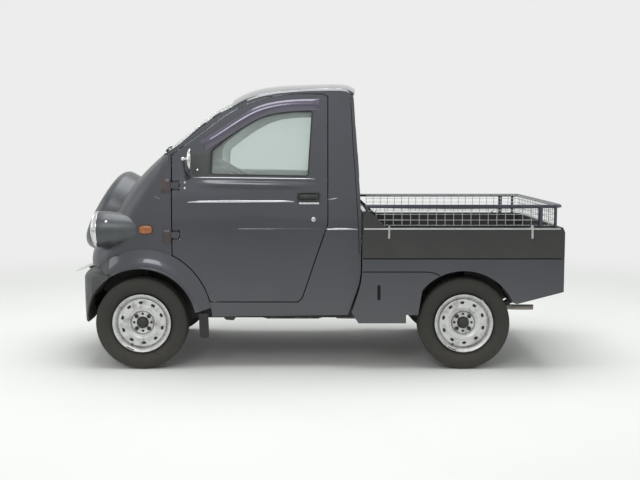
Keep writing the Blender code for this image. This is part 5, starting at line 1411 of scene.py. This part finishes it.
def makeMesh():
    low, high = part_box("rack_mesh")
    y, x0, x1 = high.y - netting["inset"], low.x, high.x - netting["inset"]
    route = rounded([(x0, -y, 0), (x1, -y, 0), (x1, y, 0), (x0, y, 0)], netting["corner"], 6)
    wire = circle(netting["wire"], 6)
    bm = bmesh.new()
    for z in netting["levels"] + (high.z - 0.002,):
        addSweep(bm, [Vector((p.x, p.y, z)) for p in route], wire)
    for p in evenly(route, netting["pitch"]):
        addSweep(bm, [Vector((p.x, p.y, low.z)), Vector((p.x, p.y, high.z))], wire)
    made = piece("mesh_wires", bm, galvanised, "truck", 40)
    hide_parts("rack_mesh")


makeMesh()

hook = {"places": (0.446, 1.252), "top": 0.816, "low": 0.753}


def makeHooks(word, side):
    for number, x in enumerate(hook["places"]):
        face, normal = onSide(("bed_side_" + word,), side, x, 0.78)
        out, base = Vector((0, side, 0)), Vector((x, face.y, 0))
        top = Vector((0, 0, hook["top"] + 0.003))
        route = rounded([base + out * 0.0022 + Vector((0, 0, hook["low"])),
                         base + out * 0.0022 + top, base - out * 0.024 + top], 0.006, 3)
        bm = bmesh.new()
        addSweep(bm, route, [(0.0012, -0.008), (0.0012, 0.008), (-0.0012, 0.008),
                             (-0.0012, -0.008)])
        piece("board_hook_%s_%d" % (word, number), bm, galvanised, "truck", 30, 0.0006)


bothSides(makeHooks)

cover = {"seam": [(0.300, 0.5635), (0.672, 0.5635), (0.712, 0.556), (0.736, 0.541)],
         "gap": (0.300, 1.425, 0.6385), "slot": (0.392, 0.403, 0.489), "slotHalf": 0.009}


def makeCover(word, side):
    # Seam of the cover, the gap under the side board, and the slot in the cover: dark strips and a
    # dark patch laid on the panel as painted shade
    names = ("quarter_panel_" + word,)
    places, normals = laidRoute(names, side, flatRoute(cover["seam"], 0.015, 0.02))
    swept("cover_seam_" + word, gapPrimerAndShade, "truck", 0, places,
          ridge(-0.001, 0.0005, 0.0036, 0.0030), normals)
    x0, x1, z = cover["gap"]
    places, normals = laidRoute(names, side, [(x0 + (x1 - x0) * k / 40, z) for k in range(41)])
    swept("board_gap_" + word, gapPrimerAndShade, "truck", 0, places,
          ridge(-0.001, 0.0006, 0.0042, 0.0036), normals)
    (x, z0, z1), half = cover["slot"], cover["slotHalf"]
    edge = rounded([(x - half, 0, z0), (x + half, 0, z0), (x + half, 0, z1), (x - half, 0, z1)],
                   0.0085, 5, True)
    z = (z0 + z1) / 2
    face, normal = onSide(names, side, x, z)
    shell("cover_slot_" + word, gapPrimerAndShade, "truck", 30,
          [[Vector((x + (p.x - x) * grow, face.y + side * lift, z + (p.z - z) * grow))
            for p in edge]
           for grow, lift in ((1.0, -0.0005), (1.0, 0.0012), (0.90, 0.0016), (0.84, 0.0004))])


bothSides(makeCover)

liner = {"centre": (0.872, 0.262), "radii": (0.3005, 0.3035), "spans": ((24, 44), (136, 172)),
         "y": (0.365, 0.640)}
splash = {"radii": (0.210, 0.335), "spans": ((17.5, 20.5), (24.5, 84)), "y": (0.450, 0.456)}


def makeLiner(word, side):
    # Rubber skirts that carry the rear arch down in front of and behind the tyre,
    # and the splash plate inboard of it
    bm = bmesh.new()
    for start, end in liner["spans"]:
        addPlate(bm, sector(liner["centre"], liner["radii"], start, end, 8),
                 *(side * y for y in liner["y"]))
    for start, end in splash["spans"]:
        addPlate(bm, sector(liner["centre"], splash["radii"], start, end,
                            max(2, round((end - start) / 6))), *(side * y for y in splash["y"]))
    piece("arch_skirts_" + word, bm, sealRubber, "truck", 30)


archLip = {"radius": 0.3225, "half": 0.0042, "steps": 39, "near": 0.004,
           "parts": (("flare", bodyPaint, 22, 137), ("bumper", bumperPlastic, 141, 196))}


def makeArchLip(word, side):
    # Rolled lip that follows the edge of the front arch over flare and bumper
    names = ("front_fender_" + word, "front_bumper")
    wheel = wheelPlaces["front_" + word]
    for part, look, start, end in archLip["parts"]:
        places, normals = [], []
        for k in range(archLip["steps"] + 1):
            t = math.radians(start + (end - start) * k / archLip["steps"])
            x = wheel.x + archLip["radius"] * math.cos(t)
            z = wheel.z + archLip["radius"] * math.sin(t)
            place, normal = onSide(names, side, x, z)
            if abs(place.x - x) + abs(place.z - z) < archLip["near"]:
                places.append(place)
                normals.append(normal)
        swept("arch_lip_%s_%s" % (part, word), look, "truck", 60, places, circle(archLip["half"]),
              normals)


stanchion = {"x": (1.289, 1.315), "z": (0.816, 0.930), "y": (0.615, 0.619)}
strip = {"x": (0.306, 1.412), "z": (0.8035, 0.8115), "out": (-0.001, 0.0022)}


def makeStanchion(word, side):
    # Flat stanchion of the rack behind the side board's end
    (x0, x1), (z0, z1) = stanchion["x"], stanchion["z"]
    low, high = sorted(side * y for y in stanchion["y"])
    block("rack_stanchion_" + word, rackCoat, "truck", 30, 0.001, (x0, low, z0), (x1, high, z1))


def makeBoardStrip(word, side):
    # Galvanised angle along the top edge of the side board
    (x0, x1), (z0, z1) = strip["x"], strip["z"]
    face, normal = onSide(("bed_side_" + word,), side, 0.8, (z0 + z1) / 2)
    low, high = sorted(face.y + side * y for y in strip["out"])
    block("board_strip_" + word, galvanised, "truck", 30, 0.0008, (x0, low, z0), (x1, high, z1))


bothSides(makeLiner, makeArchLip, makeStanchion, makeBoardStrip)

ribs = {"count": 11, "high": 0.006, "wide": 0.030, "foot": 0.006, "pitch": 0.10,
        "x": (0.345, 1.380), "z": 0.6402}


def makeBedRibs():
    bm = bmesh.new()
    w, z = ribs["wide"] / 2, ribs["z"]
    for k in range(ribs["count"]):
        y = (k - (ribs["count"] - 1) / 2) * ribs["pitch"]
        profile = [(y - w - ribs["foot"], z), (y - w, z + ribs["high"]),
                   (y + w, z + ribs["high"]), (y + w + ribs["foot"], z)]
        addShell(bm, [[(x, p, q) for p, q in profile] for x in ribs["x"]])
    piece("bed_floor_ribs", bm, bodyPaint, "truck", 20)


makeBedRibs()

flap = {"x": (-0.633, -0.575), "z": (0.180, 0.320), "y": (0.505, 0.612), "thick": 0.005}


def makeFlap(word, side):
    # Moulded flap behind the front wheel: a sheet across and a wing along the sill
    (x0, x1), (z0, z1), thick = flap["x"], flap["z"], flap["thick"]
    y0, y1 = (side * y for y in flap["y"])
    bm = bmesh.new()
    wing = rounded([(x0, 0, z1), (x0 + 0.004, 0, z0 + 0.010), (x0 + 0.016, 0, z0),
                    (x1 - 0.006, 0, z0), (x1, 0, z0 + 0.012), (x1 - 0.004, 0, z1)], 0.008, 3)
    addPlate(bm, [(p.x, p.z) for p in wing], y1 - side * thick, y1)
    sheet = [(x0 + 0.010, z1), (x0 + 0.014, 0.24), (x0 + 0.024, z0 + 0.004),
             (x0 + 0.029, z0 + 0.004), (x0 + 0.019, 0.24), (x0 + 0.015, z1)]
    addPlate(bm, sheet, y0, y1 - side * thick * 0.5)
    piece("mud_flap_" + word, bm, sealRubber, "truck", 30)


jackPad = {"x": (-0.500, -0.425), "y": (0.470, 0.560), "z": (0.271, 0.305)}


def makeJackPad(word, side):
    # Pressed jacking bracket under the sill, rounded at its foot
    (x0, x1), (z0, z1) = jackPad["x"], jackPad["z"]
    foot = rounded([(x0, 0, z1), (x0 + 0.010, 0, z0 + 0.004), (x1 - 0.008, 0, z0), (x1, 0, z1)],
                   0.016, 5)
    bm = bmesh.new()
    addPlate(bm, [(p.x, p.z) for p in foot], *(side * y for y in jackPad["y"]))
    piece("jacking_bracket_" + word, bm, chassisBlack, "truck", 40, 0.002)


bothSides(makeFlap, makeJackPad)

# tail lamps: amber, red and clear fields under a thin black bezel
tail = {"fields": ((0.430, 0.482, "amber", amberLens), (0.484, 0.548, "red", redLens),
                   (0.550, 0.590, "clear", milkLens))}


def makeTailLamp(word, side):
    low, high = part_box("tail_lamp_" + word)
    for y0, y1, kind, look in tail["fields"]:
        a, b = sorted((side * (y0 + 0.003), side * (y1 - 0.003)))
        block("tail_%s_%s" % (kind, word), look, "truck", 30, 0.0025,
              (high.x - 0.008, a, low.z + 0.004), (high.x - 0.0004, b, high.z - 0.004))
    y, z = (low.y + high.y) / 2, (low.z + high.z) / 2
    hy, hz = (high.y - low.y) / 2, (high.z - low.z) / 2
    rear = high.x - 0.0032
    route = rounded([(rear, y - hy, z - hz), (rear, y + hy, z - hz), (rear, y + hy, z + hz),
                     (rear, y - hy, z + hz)], 0.006, 3, True)
    swept("tail_bezel_" + word, satinBlack, "truck", 50, route, circle(0.0030, 6),
          [Vector((1, 0, 0))] * len(route), True)
    housing = block("tail_housing_" + word, satinBlack, "truck", 30, 0.001,
                    (low.x, low.y, low.z), (high.x - 0.004, high.y, high.z))
    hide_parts("tail_lamp_" + word)


bothSides(makeTailLamp)


# tailgate: latch at each top corner, three pressed panels
gate = {"step": 0.0042, "fields": ((-0.56, -0.20), (-0.17, 0.17), (0.20, 0.56)), "latch": 0.575}


def makeGate():
    low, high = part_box("tailgate")
    bm = bmesh.new()
    bm.from_mesh(nodes["tailgate"].data)
    for vert in bm.verts:
        if vert.co.x > high.x - 0.002:
            vert.co.x -= gate["step"]
    panel = piece("gate_panel", bm, boardPlastic, "gate", 30)
    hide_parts("tailgate")
    high.x -= gate["step"]
    bm = bmesh.new()
    for y0, y1 in gate["fields"]:
        ring = rounded([(high.x, y0, low.z + 0.035), (high.x, y1, low.z + 0.035),
                        (high.x, y1, high.z - 0.030), (high.x, y0, high.z - 0.030)], 0.02, 4, True)
        addSweep(bm, ring, ridge(-0.0005, 0.0016, 0.004, 0.002), [Vector((1, 0, 0))] * len(ring),
                 True)
    piece("gate_pressings", bm, boardPlastic, "gate", 30)
    bm = bmesh.new()
    for side in (-1, 1):
        y = side * gate["latch"]
        addBox(bm, (high.x - 0.001, y - 0.016, high.z - 0.045),
               (high.x + 0.0018, y + 0.016, high.z - 0.008))
        addTurned(bm, ((0.001, 0.009), (0.0034, 0.008), (0.0040, 0.005), (0.0040, 0)),
                  (high.x, y, high.z - 0.026), (1, 0, 0), 14)
    piece("gate_latches", bm, galvanised, "gate", 30, 0.001)


makeGate()
print("bed")


# cabin

seat = {"swell": 4.0, "frames": 20, "voxel": 0.009, "mostSwell": 0.014, "middle": 0.285,
        "seamHalf": 0.011, "seamDeep": 0.007}


def pad(name, low, high, lean, pivot):
    # A closed, crowned cushion: a box whose sides pull in between its corners
    bm = bmesh.new()
    low, high = Vector(low), Vector(high)
    size, middle = high - low, (low + high) / 2
    bmesh.ops.create_cube(bm, size=1)
    bmesh.ops.subdivide_edges(bm, edges=bm.edges[:], cuts=13, use_grid_fill=True)
    for vert in bm.verts:
        x, y, z = vert.co * 2                          # -1 to 1
        pull = Vector((x * math.sqrt(1 - y * y * 0.10 - z * z * 0.10),
                       y * math.sqrt(1 - x * x * 0.05 - z * z * 0.12),
                       z * math.sqrt(1 - x * x * 0.10 - y * y * 0.06)))
        vert.co = middle + pull * size / 2
    if lean:
        bmesh.ops.rotate(bm, verts=bm.verts[:], cent=pivot, matrix=Matrix.Rotation(lean, 3, "Y"))
    mesh = bpy.data.meshes.new(name)
    bm.to_mesh(mesh)
    bm.free()
    return mesh


def swell(made, cap):
    # Cloth with air in it, stepped frame by frame, each point held near its start
    step = made.modifiers.new("remesh", "REMESH")
    step.mode = "VOXEL"
    step.voxel_size = seat["voxel"]
    graph = bpy.context.evaluated_depsgraph_get()
    fresh = bpy.data.meshes.new_from_object(made.evaluated_get(graph))
    made.modifiers.clear()
    old = made.data
    made.data = fresh
    bpy.data.meshes.remove(old)
    rest = [v.co.copy() for v in fresh.vertices]
    cloth = made.modifiers.new("cloth", "CLOTH")
    cloth.settings.use_pressure = True
    cloth.settings.uniform_pressure_force = seat["swell"]
    cloth.settings.effector_weights.gravity = 0
    cloth.settings.quality = 4
    cloth.point_cache.frame_start = 1
    cloth.point_cache.frame_end = seat["frames"]
    scene = bpy.context.scene
    for number in range(1, seat["frames"] + 1):
        scene.frame_set(number)
    graph = bpy.context.evaluated_depsgraph_get()
    blown = bpy.data.meshes.new_from_object(made.evaluated_get(graph))
    made.modifiers.clear()
    made.data = blown
    for vert, first in zip(blown.vertices, rest):
        shift = vert.co - first
        if shift.length > cap:
            vert.co = first + shift.normalized() * cap
    scene.frame_set(1)


def pressSeams(made, lines, half, deep):
    # Sewn channels: points near each line sink towards the cushion's middle
    mesh = made.data
    mesh.update()
    normals = [v.normal.copy() for v in mesh.vertices]
    for vert, normal in zip(mesh.vertices, normals):
        sink = 0
        for value in lines:
            gap = value(vert.co, normal)
            if gap is not None and gap < half:
                sink = max(sink, (1 - (gap / half) ** 2))
        vert.co -= normal * deep * sink
    mesh.update()


def makeSeat(word, side):
    y = side * seat["middle"]
    parts = (("seat_cushion_", (-0.314, y - 0.214, 0.606), (0.075, y + 0.214, 0.742), 0, None),
             ("seat_back_", (0.085, y - 0.212, 0.700), (0.190, y + 0.212, 1.205), math.radians(9),
              (0.150, y, 0.70)))
    for name, low, high, lean, pivotPoint in parts:
        made = bpy.data.objects.new(name + word, pad(name + word, low, high, lean, pivotPoint))
        bpy.context.scene.collection.objects.link(made)
        swell(made, seat["mostSwell"])
        if "cushion" in name:
            lines = [lambda p, n, c=c: abs(p.y - (y + c)) if n.z > 0.4 else None
                     for c in (-0.120, 0.120)]
            lines += [lambda p, n, c=c: (abs(p.x - c) if n.z > 0.4 and abs(p.y - y) < 0.12
                                         else None) for c in (-0.21, -0.12, -0.03)]
        else:
            lines = [lambda p, n, c=c: abs(p.y - (y + c)) if n.x < -0.4 else None
                     for c in (-0.115, 0.115)]
            lines += [lambda p, n, c=c: (abs(p.z - c) if n.x < -0.4 and abs(p.y - y) < 0.115
                                         else None) for c in (0.84, 0.94, 1.04)]
        pressSeams(made, lines, seat["seamHalf"], seat["seamDeep"])
        made.data.materials.clear()
        made.data.materials.append(seatCloth)
        made.data.polygons.foreach_set("use_smooth", [True] * len(made.data.polygons))
        step = made.modifiers.new("smooth", "SUBSURF")
        step.levels = step.render_levels = 1
        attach(made, "truck")
        if "cushion" in name:
            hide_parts("seat_" + word)
            # piping round the edge of the panel
            x0, x1, y0, y1 = low[0] + 0.012, high[0] - 0.02, low[1] + 0.012, high[1] - 0.012
            ring = rounded([(x0, y0, 0), (x1, y0, 0), (x1, y1, 0), (x0, y1, 0)], 0.03, 5, True)
            tree = BVHTree.FromPolygons([v.co for v in made.data.vertices],
                                        [tuple(f.vertices) for f in made.data.polygons])
            route = []
            for p in evenly(ring, 0.015, True):
                place, normal, face, gap = tree.ray_cast(Vector((p.x, p.y, 2)), Vector((0, 0, -1)))
                if place:
                    route.append(place)
            swept("seat_piping_" + word, satinBlack, "truck", 60, route, circle(0.0032, 6),
                  [Vector((0, 0, 1))] * len(route), True)


bothSides(makeSeat)
print("seats")

binnacle = {"centre": (-0.715, 0.280, 1.150), "half": 0.150}
pedals = {"x": -0.800, "y": (0.140, 0.212, 0.284), "z": 0.470, "lean": -30}
doorCard = {"shape": [(-0.60, 0.50), (-0.14, 0.46), (-0.02, 0.50), (0.03, 0.84), (0.03, 1.065),
                      (-0.64, 1.065), (-0.68, 0.84), (-0.66, 0.62)],
            "steps": ((1, 0.0003), (1, 0.003), (0.97, 0.005), (0.6, 0.0055))}


def makeCabin():
    # instrument hood, dials, vents and glove box lid
    bm = bmesh.new()
    cx, cy, cz = binnacle["centre"]
    rows = []
    for k in range(9):
        t = math.pi * k / 8
        y = cy - math.cos(t) * binnacle["half"]
        z = cz + math.sin(t) ** 0.7 * 0.052
        rows.append((y, z))
    loops = []
    for x in (cx - 0.075, cx + 0.055):
        outer = [bm.verts.new((x, y, z if x > cx else cz + (z - cz) * 0.75)) for y, z in rows]
        inner = [bm.verts.new((x, cy + (y - cy) * 0.94, cz + (z - cz) * (0.9 if x > cx else 0.65)))
                 for y, z in rows]
        loops.append((outer, inner))
    (r0, i0), (r1, i1) = loops
    for k in range(8):
        bm.faces.new((r0[k], r0[k + 1], r1[k + 1], r1[k]))
        bm.faces.new((i0[k], i1[k], i1[k + 1], i0[k + 1]))
        bm.faces.new((r1[k], r1[k + 1], i1[k + 1], i1[k]))
        bm.faces.new((r0[k + 1], r0[k], i0[k], i0[k + 1]))
    for k in (0, 8):
        bm.faces.new((r0[k], r1[k], i1[k], i0[k]))
    piece("instrument_hood", bm, dashVinyl, "truck", 45)
    bm = bmesh.new()
    for dy, size in ((-0.055, 0.034), (0.050, 0.042), (0.115, 0.018)):
        centre = (cx + 0.002, cy + dy, cz + 0.020 if size > 0.02 else cz + 0.012)
        addTurned(bm, ((-0.01, size), (0.004, size), (0.004, size * 0.92), (0.001, size * 0.9),
                       (0.001, 0)), centre, (1, 0, 0.12), 32)
    piece("dials", bm, satinBlack, "truck", 40)
    bm = bmesh.new()
    for dy, size in ((-0.055, 0.034), (0.050, 0.042)):
        centre = Vector((cx + 0.0035, cy + dy, cz + 0.020))
        for k in range(25):
            turn = math.radians(-130 + 260 * k / 24)
            out = Vector((0, math.sin(turn), math.cos(turn)))
            long = 0.86 - (0.14 if k % 4 == 0 else 0.07)
            p, q = centre + out * size * long, centre + out * size * 0.86
            addSweep(bm, [p, q], circle(0.0005, 4))
        turn = math.radians(-130)
        out = Vector((0, math.sin(turn), math.cos(turn)))
        addSweep(bm, [centre, centre + out * size * 0.75], circle(0.0009, 4))
    piece("dial_marks", bm, plateEnamel, "truck", 0)
    # what lies on the dash's rear face
    bm = bmesh.new()
    marks = bmesh.new()
    for y, z, wide, tall in ((-0.38, 1.060, 0.10, 0.045), (0.045, 1.060, 0.13, 0.045),
                             (-0.06, 1.060, 0.07, 0.045)):
        face, normal = hit(("dashboard",), (0.4, y, z), (-1, 0, 0))
        addBox(bm, (face.x - 0.004, y - wide / 2, z - tall / 2),
               (face.x + 0.006, y + wide / 2, z + tall / 2))
        for k in range(5):
            zz = z - tall / 2 + 0.007 + k * (tall - 0.014) / 4
            addBox(marks, (face.x + 0.005, y - wide / 2 + 0.006, zz - 0.0012),
                   (face.x + 0.0085, y + wide / 2 - 0.006, zz + 0.0012))
    piece("dash_vents", bm, satinBlack, "truck", 30, 0.003)
    piece("dash_vent_slats", marks, satinBlack, "truck", 0)
    bm = bmesh.new()
    for y, z, wide, tall in ((-0.22, 0.960, 0.34, 0.10), (0.02, 0.965, 0.11, 0.06)):
        face, normal = hit(("dashboard",), (0.4, y, z), (-1, 0, 0))
        addBox(bm, (face.x - 0.004, y - wide / 2, z - tall / 2),
               (face.x + 0.004, y + wide / 2, z + tall / 2))
    piece("glove_box_lid", bm, dashVinyl, "truck", 30, 0.004)
    face, normal = hit(("dashboard",), (0.4, -0.22, 0.995), (-1, 0, 0))
    block("glove_box_catch", satinBlack, "truck", 30, 0.002,
          (face.x + 0.003, -0.245, 0.990), (face.x + 0.010, -0.195, 1.000))
    # gear lever and handbrake between the seats
    swept("gear_lever", chromePlate, "truck", 60,
          rounded([(-0.300, 0.0, 0.601), (-0.318, 0.0, 0.74), (-0.300, 0.0, 0.86)], 0.06, 6),
          circle(0.006, 10))
    bm = bmesh.new()
    addTurned(bm, ((-0.030, 0), (-0.028, 0.012), (-0.010, 0.019), (0.008, 0.021), (0.022, 0.015),
                   (0.027, 0)), (-0.298, 0.0, 0.870), (0.1, 0, 1), 20)
    addTurned(bm, ((0.0, 0.040), (0.004, 0.040), (0.020, 0.026), (0.034, 0.020), (0.048, 0.010),
                   (0.048, 0)), (-0.302, 0, 0.601), (0, 0, 1), 20)
    piece("gear_knob_and_boot", bm, sealRubber, "truck", 50)
    swept("handbrake", satinBlack, "truck", 60,
          rounded([(-0.170, 0.030, 0.601), (-0.185, 0.030, 0.660), (-0.330, 0.030, 0.700)],
                  0.03, 6), circle(0.008, 10))
    bm = bmesh.new()
    for y in pedals["y"]:
        foot = Vector((pedals["x"], y, pedals["z"]))
        addSweep(bm, [foot, Vector((-0.900, y, 0.66))], circle(0.006, 8))
        addBox(bm, (-0.004, -0.028, -0.024), (0.004, 0.028, 0.024),
               Matrix.Rotation(math.radians(pedals["lean"]), 3, "Y"), foot)
    piece("pedals", bm, satinBlack, "truck", 40)
    block("floor_mat", floorFelt, "truck", 0, 0.002, (-0.930, -0.300, 0.3415),
          (-0.372, 0.300, 0.3475))
    # rear view mirror
    swept("inner_mirror_stalk", chromePlate, "truck", 60,
          rounded([(-0.405, 0.0, 1.575), (-0.425, 0.0, 1.530), (-0.440, 0.0, 1.520)], 0.02, 4),
          circle(0.005))
    block("inner_mirror", satinBlack, "truck", 30, 0.006, (-0.452, -0.105, 1.490),
          (-0.436, 0.105, 1.545))


makeCabin()


def makeDoorCard(word, side):
    # Inner trim of the door with its arm rest and window crank
    names = doorNames[word]
    ring = rounded([(x, 0, z) for x, z in doorCard["shape"]], 0.03, 4, True)
    shell("door_card_" + word, dashVinyl, doorBody[word], 40,
          laidPatch(names, side, ring, doorCard["steps"], True))
    place, normal = hit(names, (-0.25, 0, 0.86), (0, side, 0))
    route = rounded([place + Vector((-0.12, 0, 0)) - Vector((0, side * 0.004, 0)),
                     place + Vector((-0.10, -side * 0.034, 0.004)),
                     place + Vector((0.10, -side * 0.034, 0.004)),
                     place + Vector((0.12, 0, 0)) - Vector((0, side * 0.004, 0))], 0.03, 5)
    swept("door_pull_" + word, satinBlack, doorBody[word], 60, route, circle(0.007, 10, 0.012))
    bm = bmesh.new()
    place, normal = hit(names, (-0.47, 0, 0.80), (0, side, 0))
    inward = Vector((0, -side, 0))
    addTurned(bm, ((0.004, 0.016), (0.016, 0.014), (0.018, 0)), place, inward, 18)
    addSweep(bm, [place + inward * 0.016, place + inward * 0.022 + Vector((0.085, 0, -0.012))],
             circle(0.0055, 8))
    addTurned(bm, ((0.018, 0.011), (0.044, 0.009), (0.046, 0)),
              place + Vector((0.085, 0, -0.012)), inward, 14)
    piece("window_crank_" + word, bm, satinBlack, doorBody[word], 50)


bothSides(makeDoorCard)


def makeHeadlining():
    # Vinyl stretched just under the roof, seen through the windows
    bm = bmesh.new()
    rows = []
    for i in range(15):
        x = -0.405 + 0.640 * i / 14
        row = []
        for k in range(21):
            y = -0.47 + 0.94 * k / 20
            place, normal = hit(("roof_panel",), (x, y, 1.2), (0, 0, 1))
            row.append(Vector((x, y, place.z - 0.006)))
        rows.append(row)
    low = [[bm.verts.new(p) for p in row] for row in rows]
    high = [[bm.verts.new(p + Vector((0, 0, 0.003))) for p in row] for row in rows]
    for grid, flip in ((low, False), (high, True)):
        for a, b in zip(grid, grid[1:]):
            for k in range(20):
                corners = (a[k], a[k + 1], b[k + 1], b[k])
                bm.faces.new(corners[::-1] if flip else corners)
    border = [(i, 0) for i in range(15)] + [(14, k) for k in range(1, 21)]
    border += [(i, 20) for i in range(13, -1, -1)] + [(0, k) for k in range(19, 0, -1)]
    for (i, k), (m, n) in zip(border, border[1:] + border[:1]):
        bm.faces.new((low[i][k], low[m][n], high[m][n], high[i][k]))
    piece("headlining", bm, liningVinyl, "truck", 60)


makeHeadlining()
print("cabin")


# floor, light

stage = {"floor": "e8e9e7", "spots": "e3e4e2", "spotsMm": 900, "far": "ecedec", "near": 2.6,
         "out": 6.0, "sky": "eef0ef", "world": 0.72,
         "lights": (("top_soft", (0.2, 0.0, 5.0), (0, 0, 0), 4.5, 200),
                    ("left_soft", (-1.5, -6.5, 4.2), (0, 0, 0.7), 2.0, 66),
                    ("front_soft", (-6.5, -0.5, 2.6), (0, 0, 0.8), 3.0, 36))}


def seenRays(tree):
    # 1 for a ray from the camera, also one that came through glass
    path = addNode(tree, "LightPath")
    return path, addNode(tree, "Math", {"operation": "MAXIMUM"},
                         {0: path.outputs["Is Camera Ray"], 1: path.outputs["Is Transmission Ray"]})


def stageMaterial():
    # Matt floor near the truck that turns into the backdrop further out
    made = bpy.data.materials.new("matt studio floor")
    made.use_nodes = True
    tree = made.node_tree
    shader = tree.nodes["Principled BSDF"]
    shader.inputs["Roughness"].default_value = 0.85
    place = addNode(tree, "TexCoord").outputs["Object"]
    spots = addNode(tree, "TexNoise", {"Scale": perMetre(stage["spotsMm"]), "Detail": 3},
                    {"Vector": place})
    tone = addNode(tree, "Mix", {"data_type": "RGBA", 6: srgb(stage["floor"]),
                                 7: srgb(stage["spots"])}, {0: spots.outputs["Fac"]})
    tree.links.new(tone.outputs[2], shader.inputs["Base Color"])
    reach = addNode(tree, "VectorMath", {"operation": "LENGTH"}, {0: place})
    fade = addNode(tree, "MapRange", {"interpolation_type": "SMOOTHSTEP", "From Min": stage["near"],
                                      "From Max": stage["out"]}, {"Value": reach.outputs["Value"]})
    path, seen = seenRays(tree)
    share = addNode(tree, "Math", {"operation": "MULTIPLY"},
                    {0: fade.outputs[0], 1: seen.outputs[0]})
    glow = addNode(tree, "Emission", {"Color": srgb(stage["far"]), "Strength": 1.0})
    mixed = addNode(tree, "MixShader", {}, {0: share.outputs[0], 1: shader.outputs[0],
                                            2: glow.outputs[0]})
    tree.links.new(mixed.outputs[0], tree.nodes["Material Output"].inputs["Surface"])
    return made


bm = bmesh.new()
bmesh.ops.create_grid(bm, x_segments=2, y_segments=2, size=30)
mesh = bpy.data.meshes.new("studio_floor")
bm.to_mesh(mesh)
bm.free()
floor = bpy.data.objects.new("studio_floor", mesh)
bpy.context.scene.collection.objects.link(floor)
floor.location.z = -0.0005
mesh.materials.append(stageMaterial())

world = bpy.data.worlds.new("studio")
bpy.context.scene.world = world
world.use_nodes = True
tree = world.node_tree
sky = tree.nodes["Background"]
sky.inputs["Color"].default_value = srgb(stage["sky"])
sky.inputs["Strength"].default_value = stage["world"]
backdrop = addNode(tree, "Background", {"Color": srgb(stage["far"]), "Strength": 1.0})
path, seen = seenRays(tree)
seen = addNode(tree, "Math", {"operation": "MAXIMUM"}, {0: path.outputs["Is Glossy Ray"],
                                                        1: seen.outputs[0]})
mixed = addNode(tree, "MixShader", {}, {0: seen.outputs[0], 1: sky.outputs[0],
                                        2: backdrop.outputs[0]})
tree.links.new(mixed.outputs[0], tree.nodes["World Output"].inputs["Surface"])

for name, place, aim, size, watts in stage["lights"]:
    data = bpy.data.lights.new(name, "AREA")
    data.shape = "SQUARE"
    data.size = size
    data.energy = watts
    made = bpy.data.objects.new(name, data)
    made.location = place
    made.rotation_euler = (Vector(place) - Vector(aim)).to_track_quat("Z", "Y").to_euler()
    bpy.context.scene.collection.objects.link(made)

bpy.context.scene.view_settings.view_transform = "Standard"
print("stage")
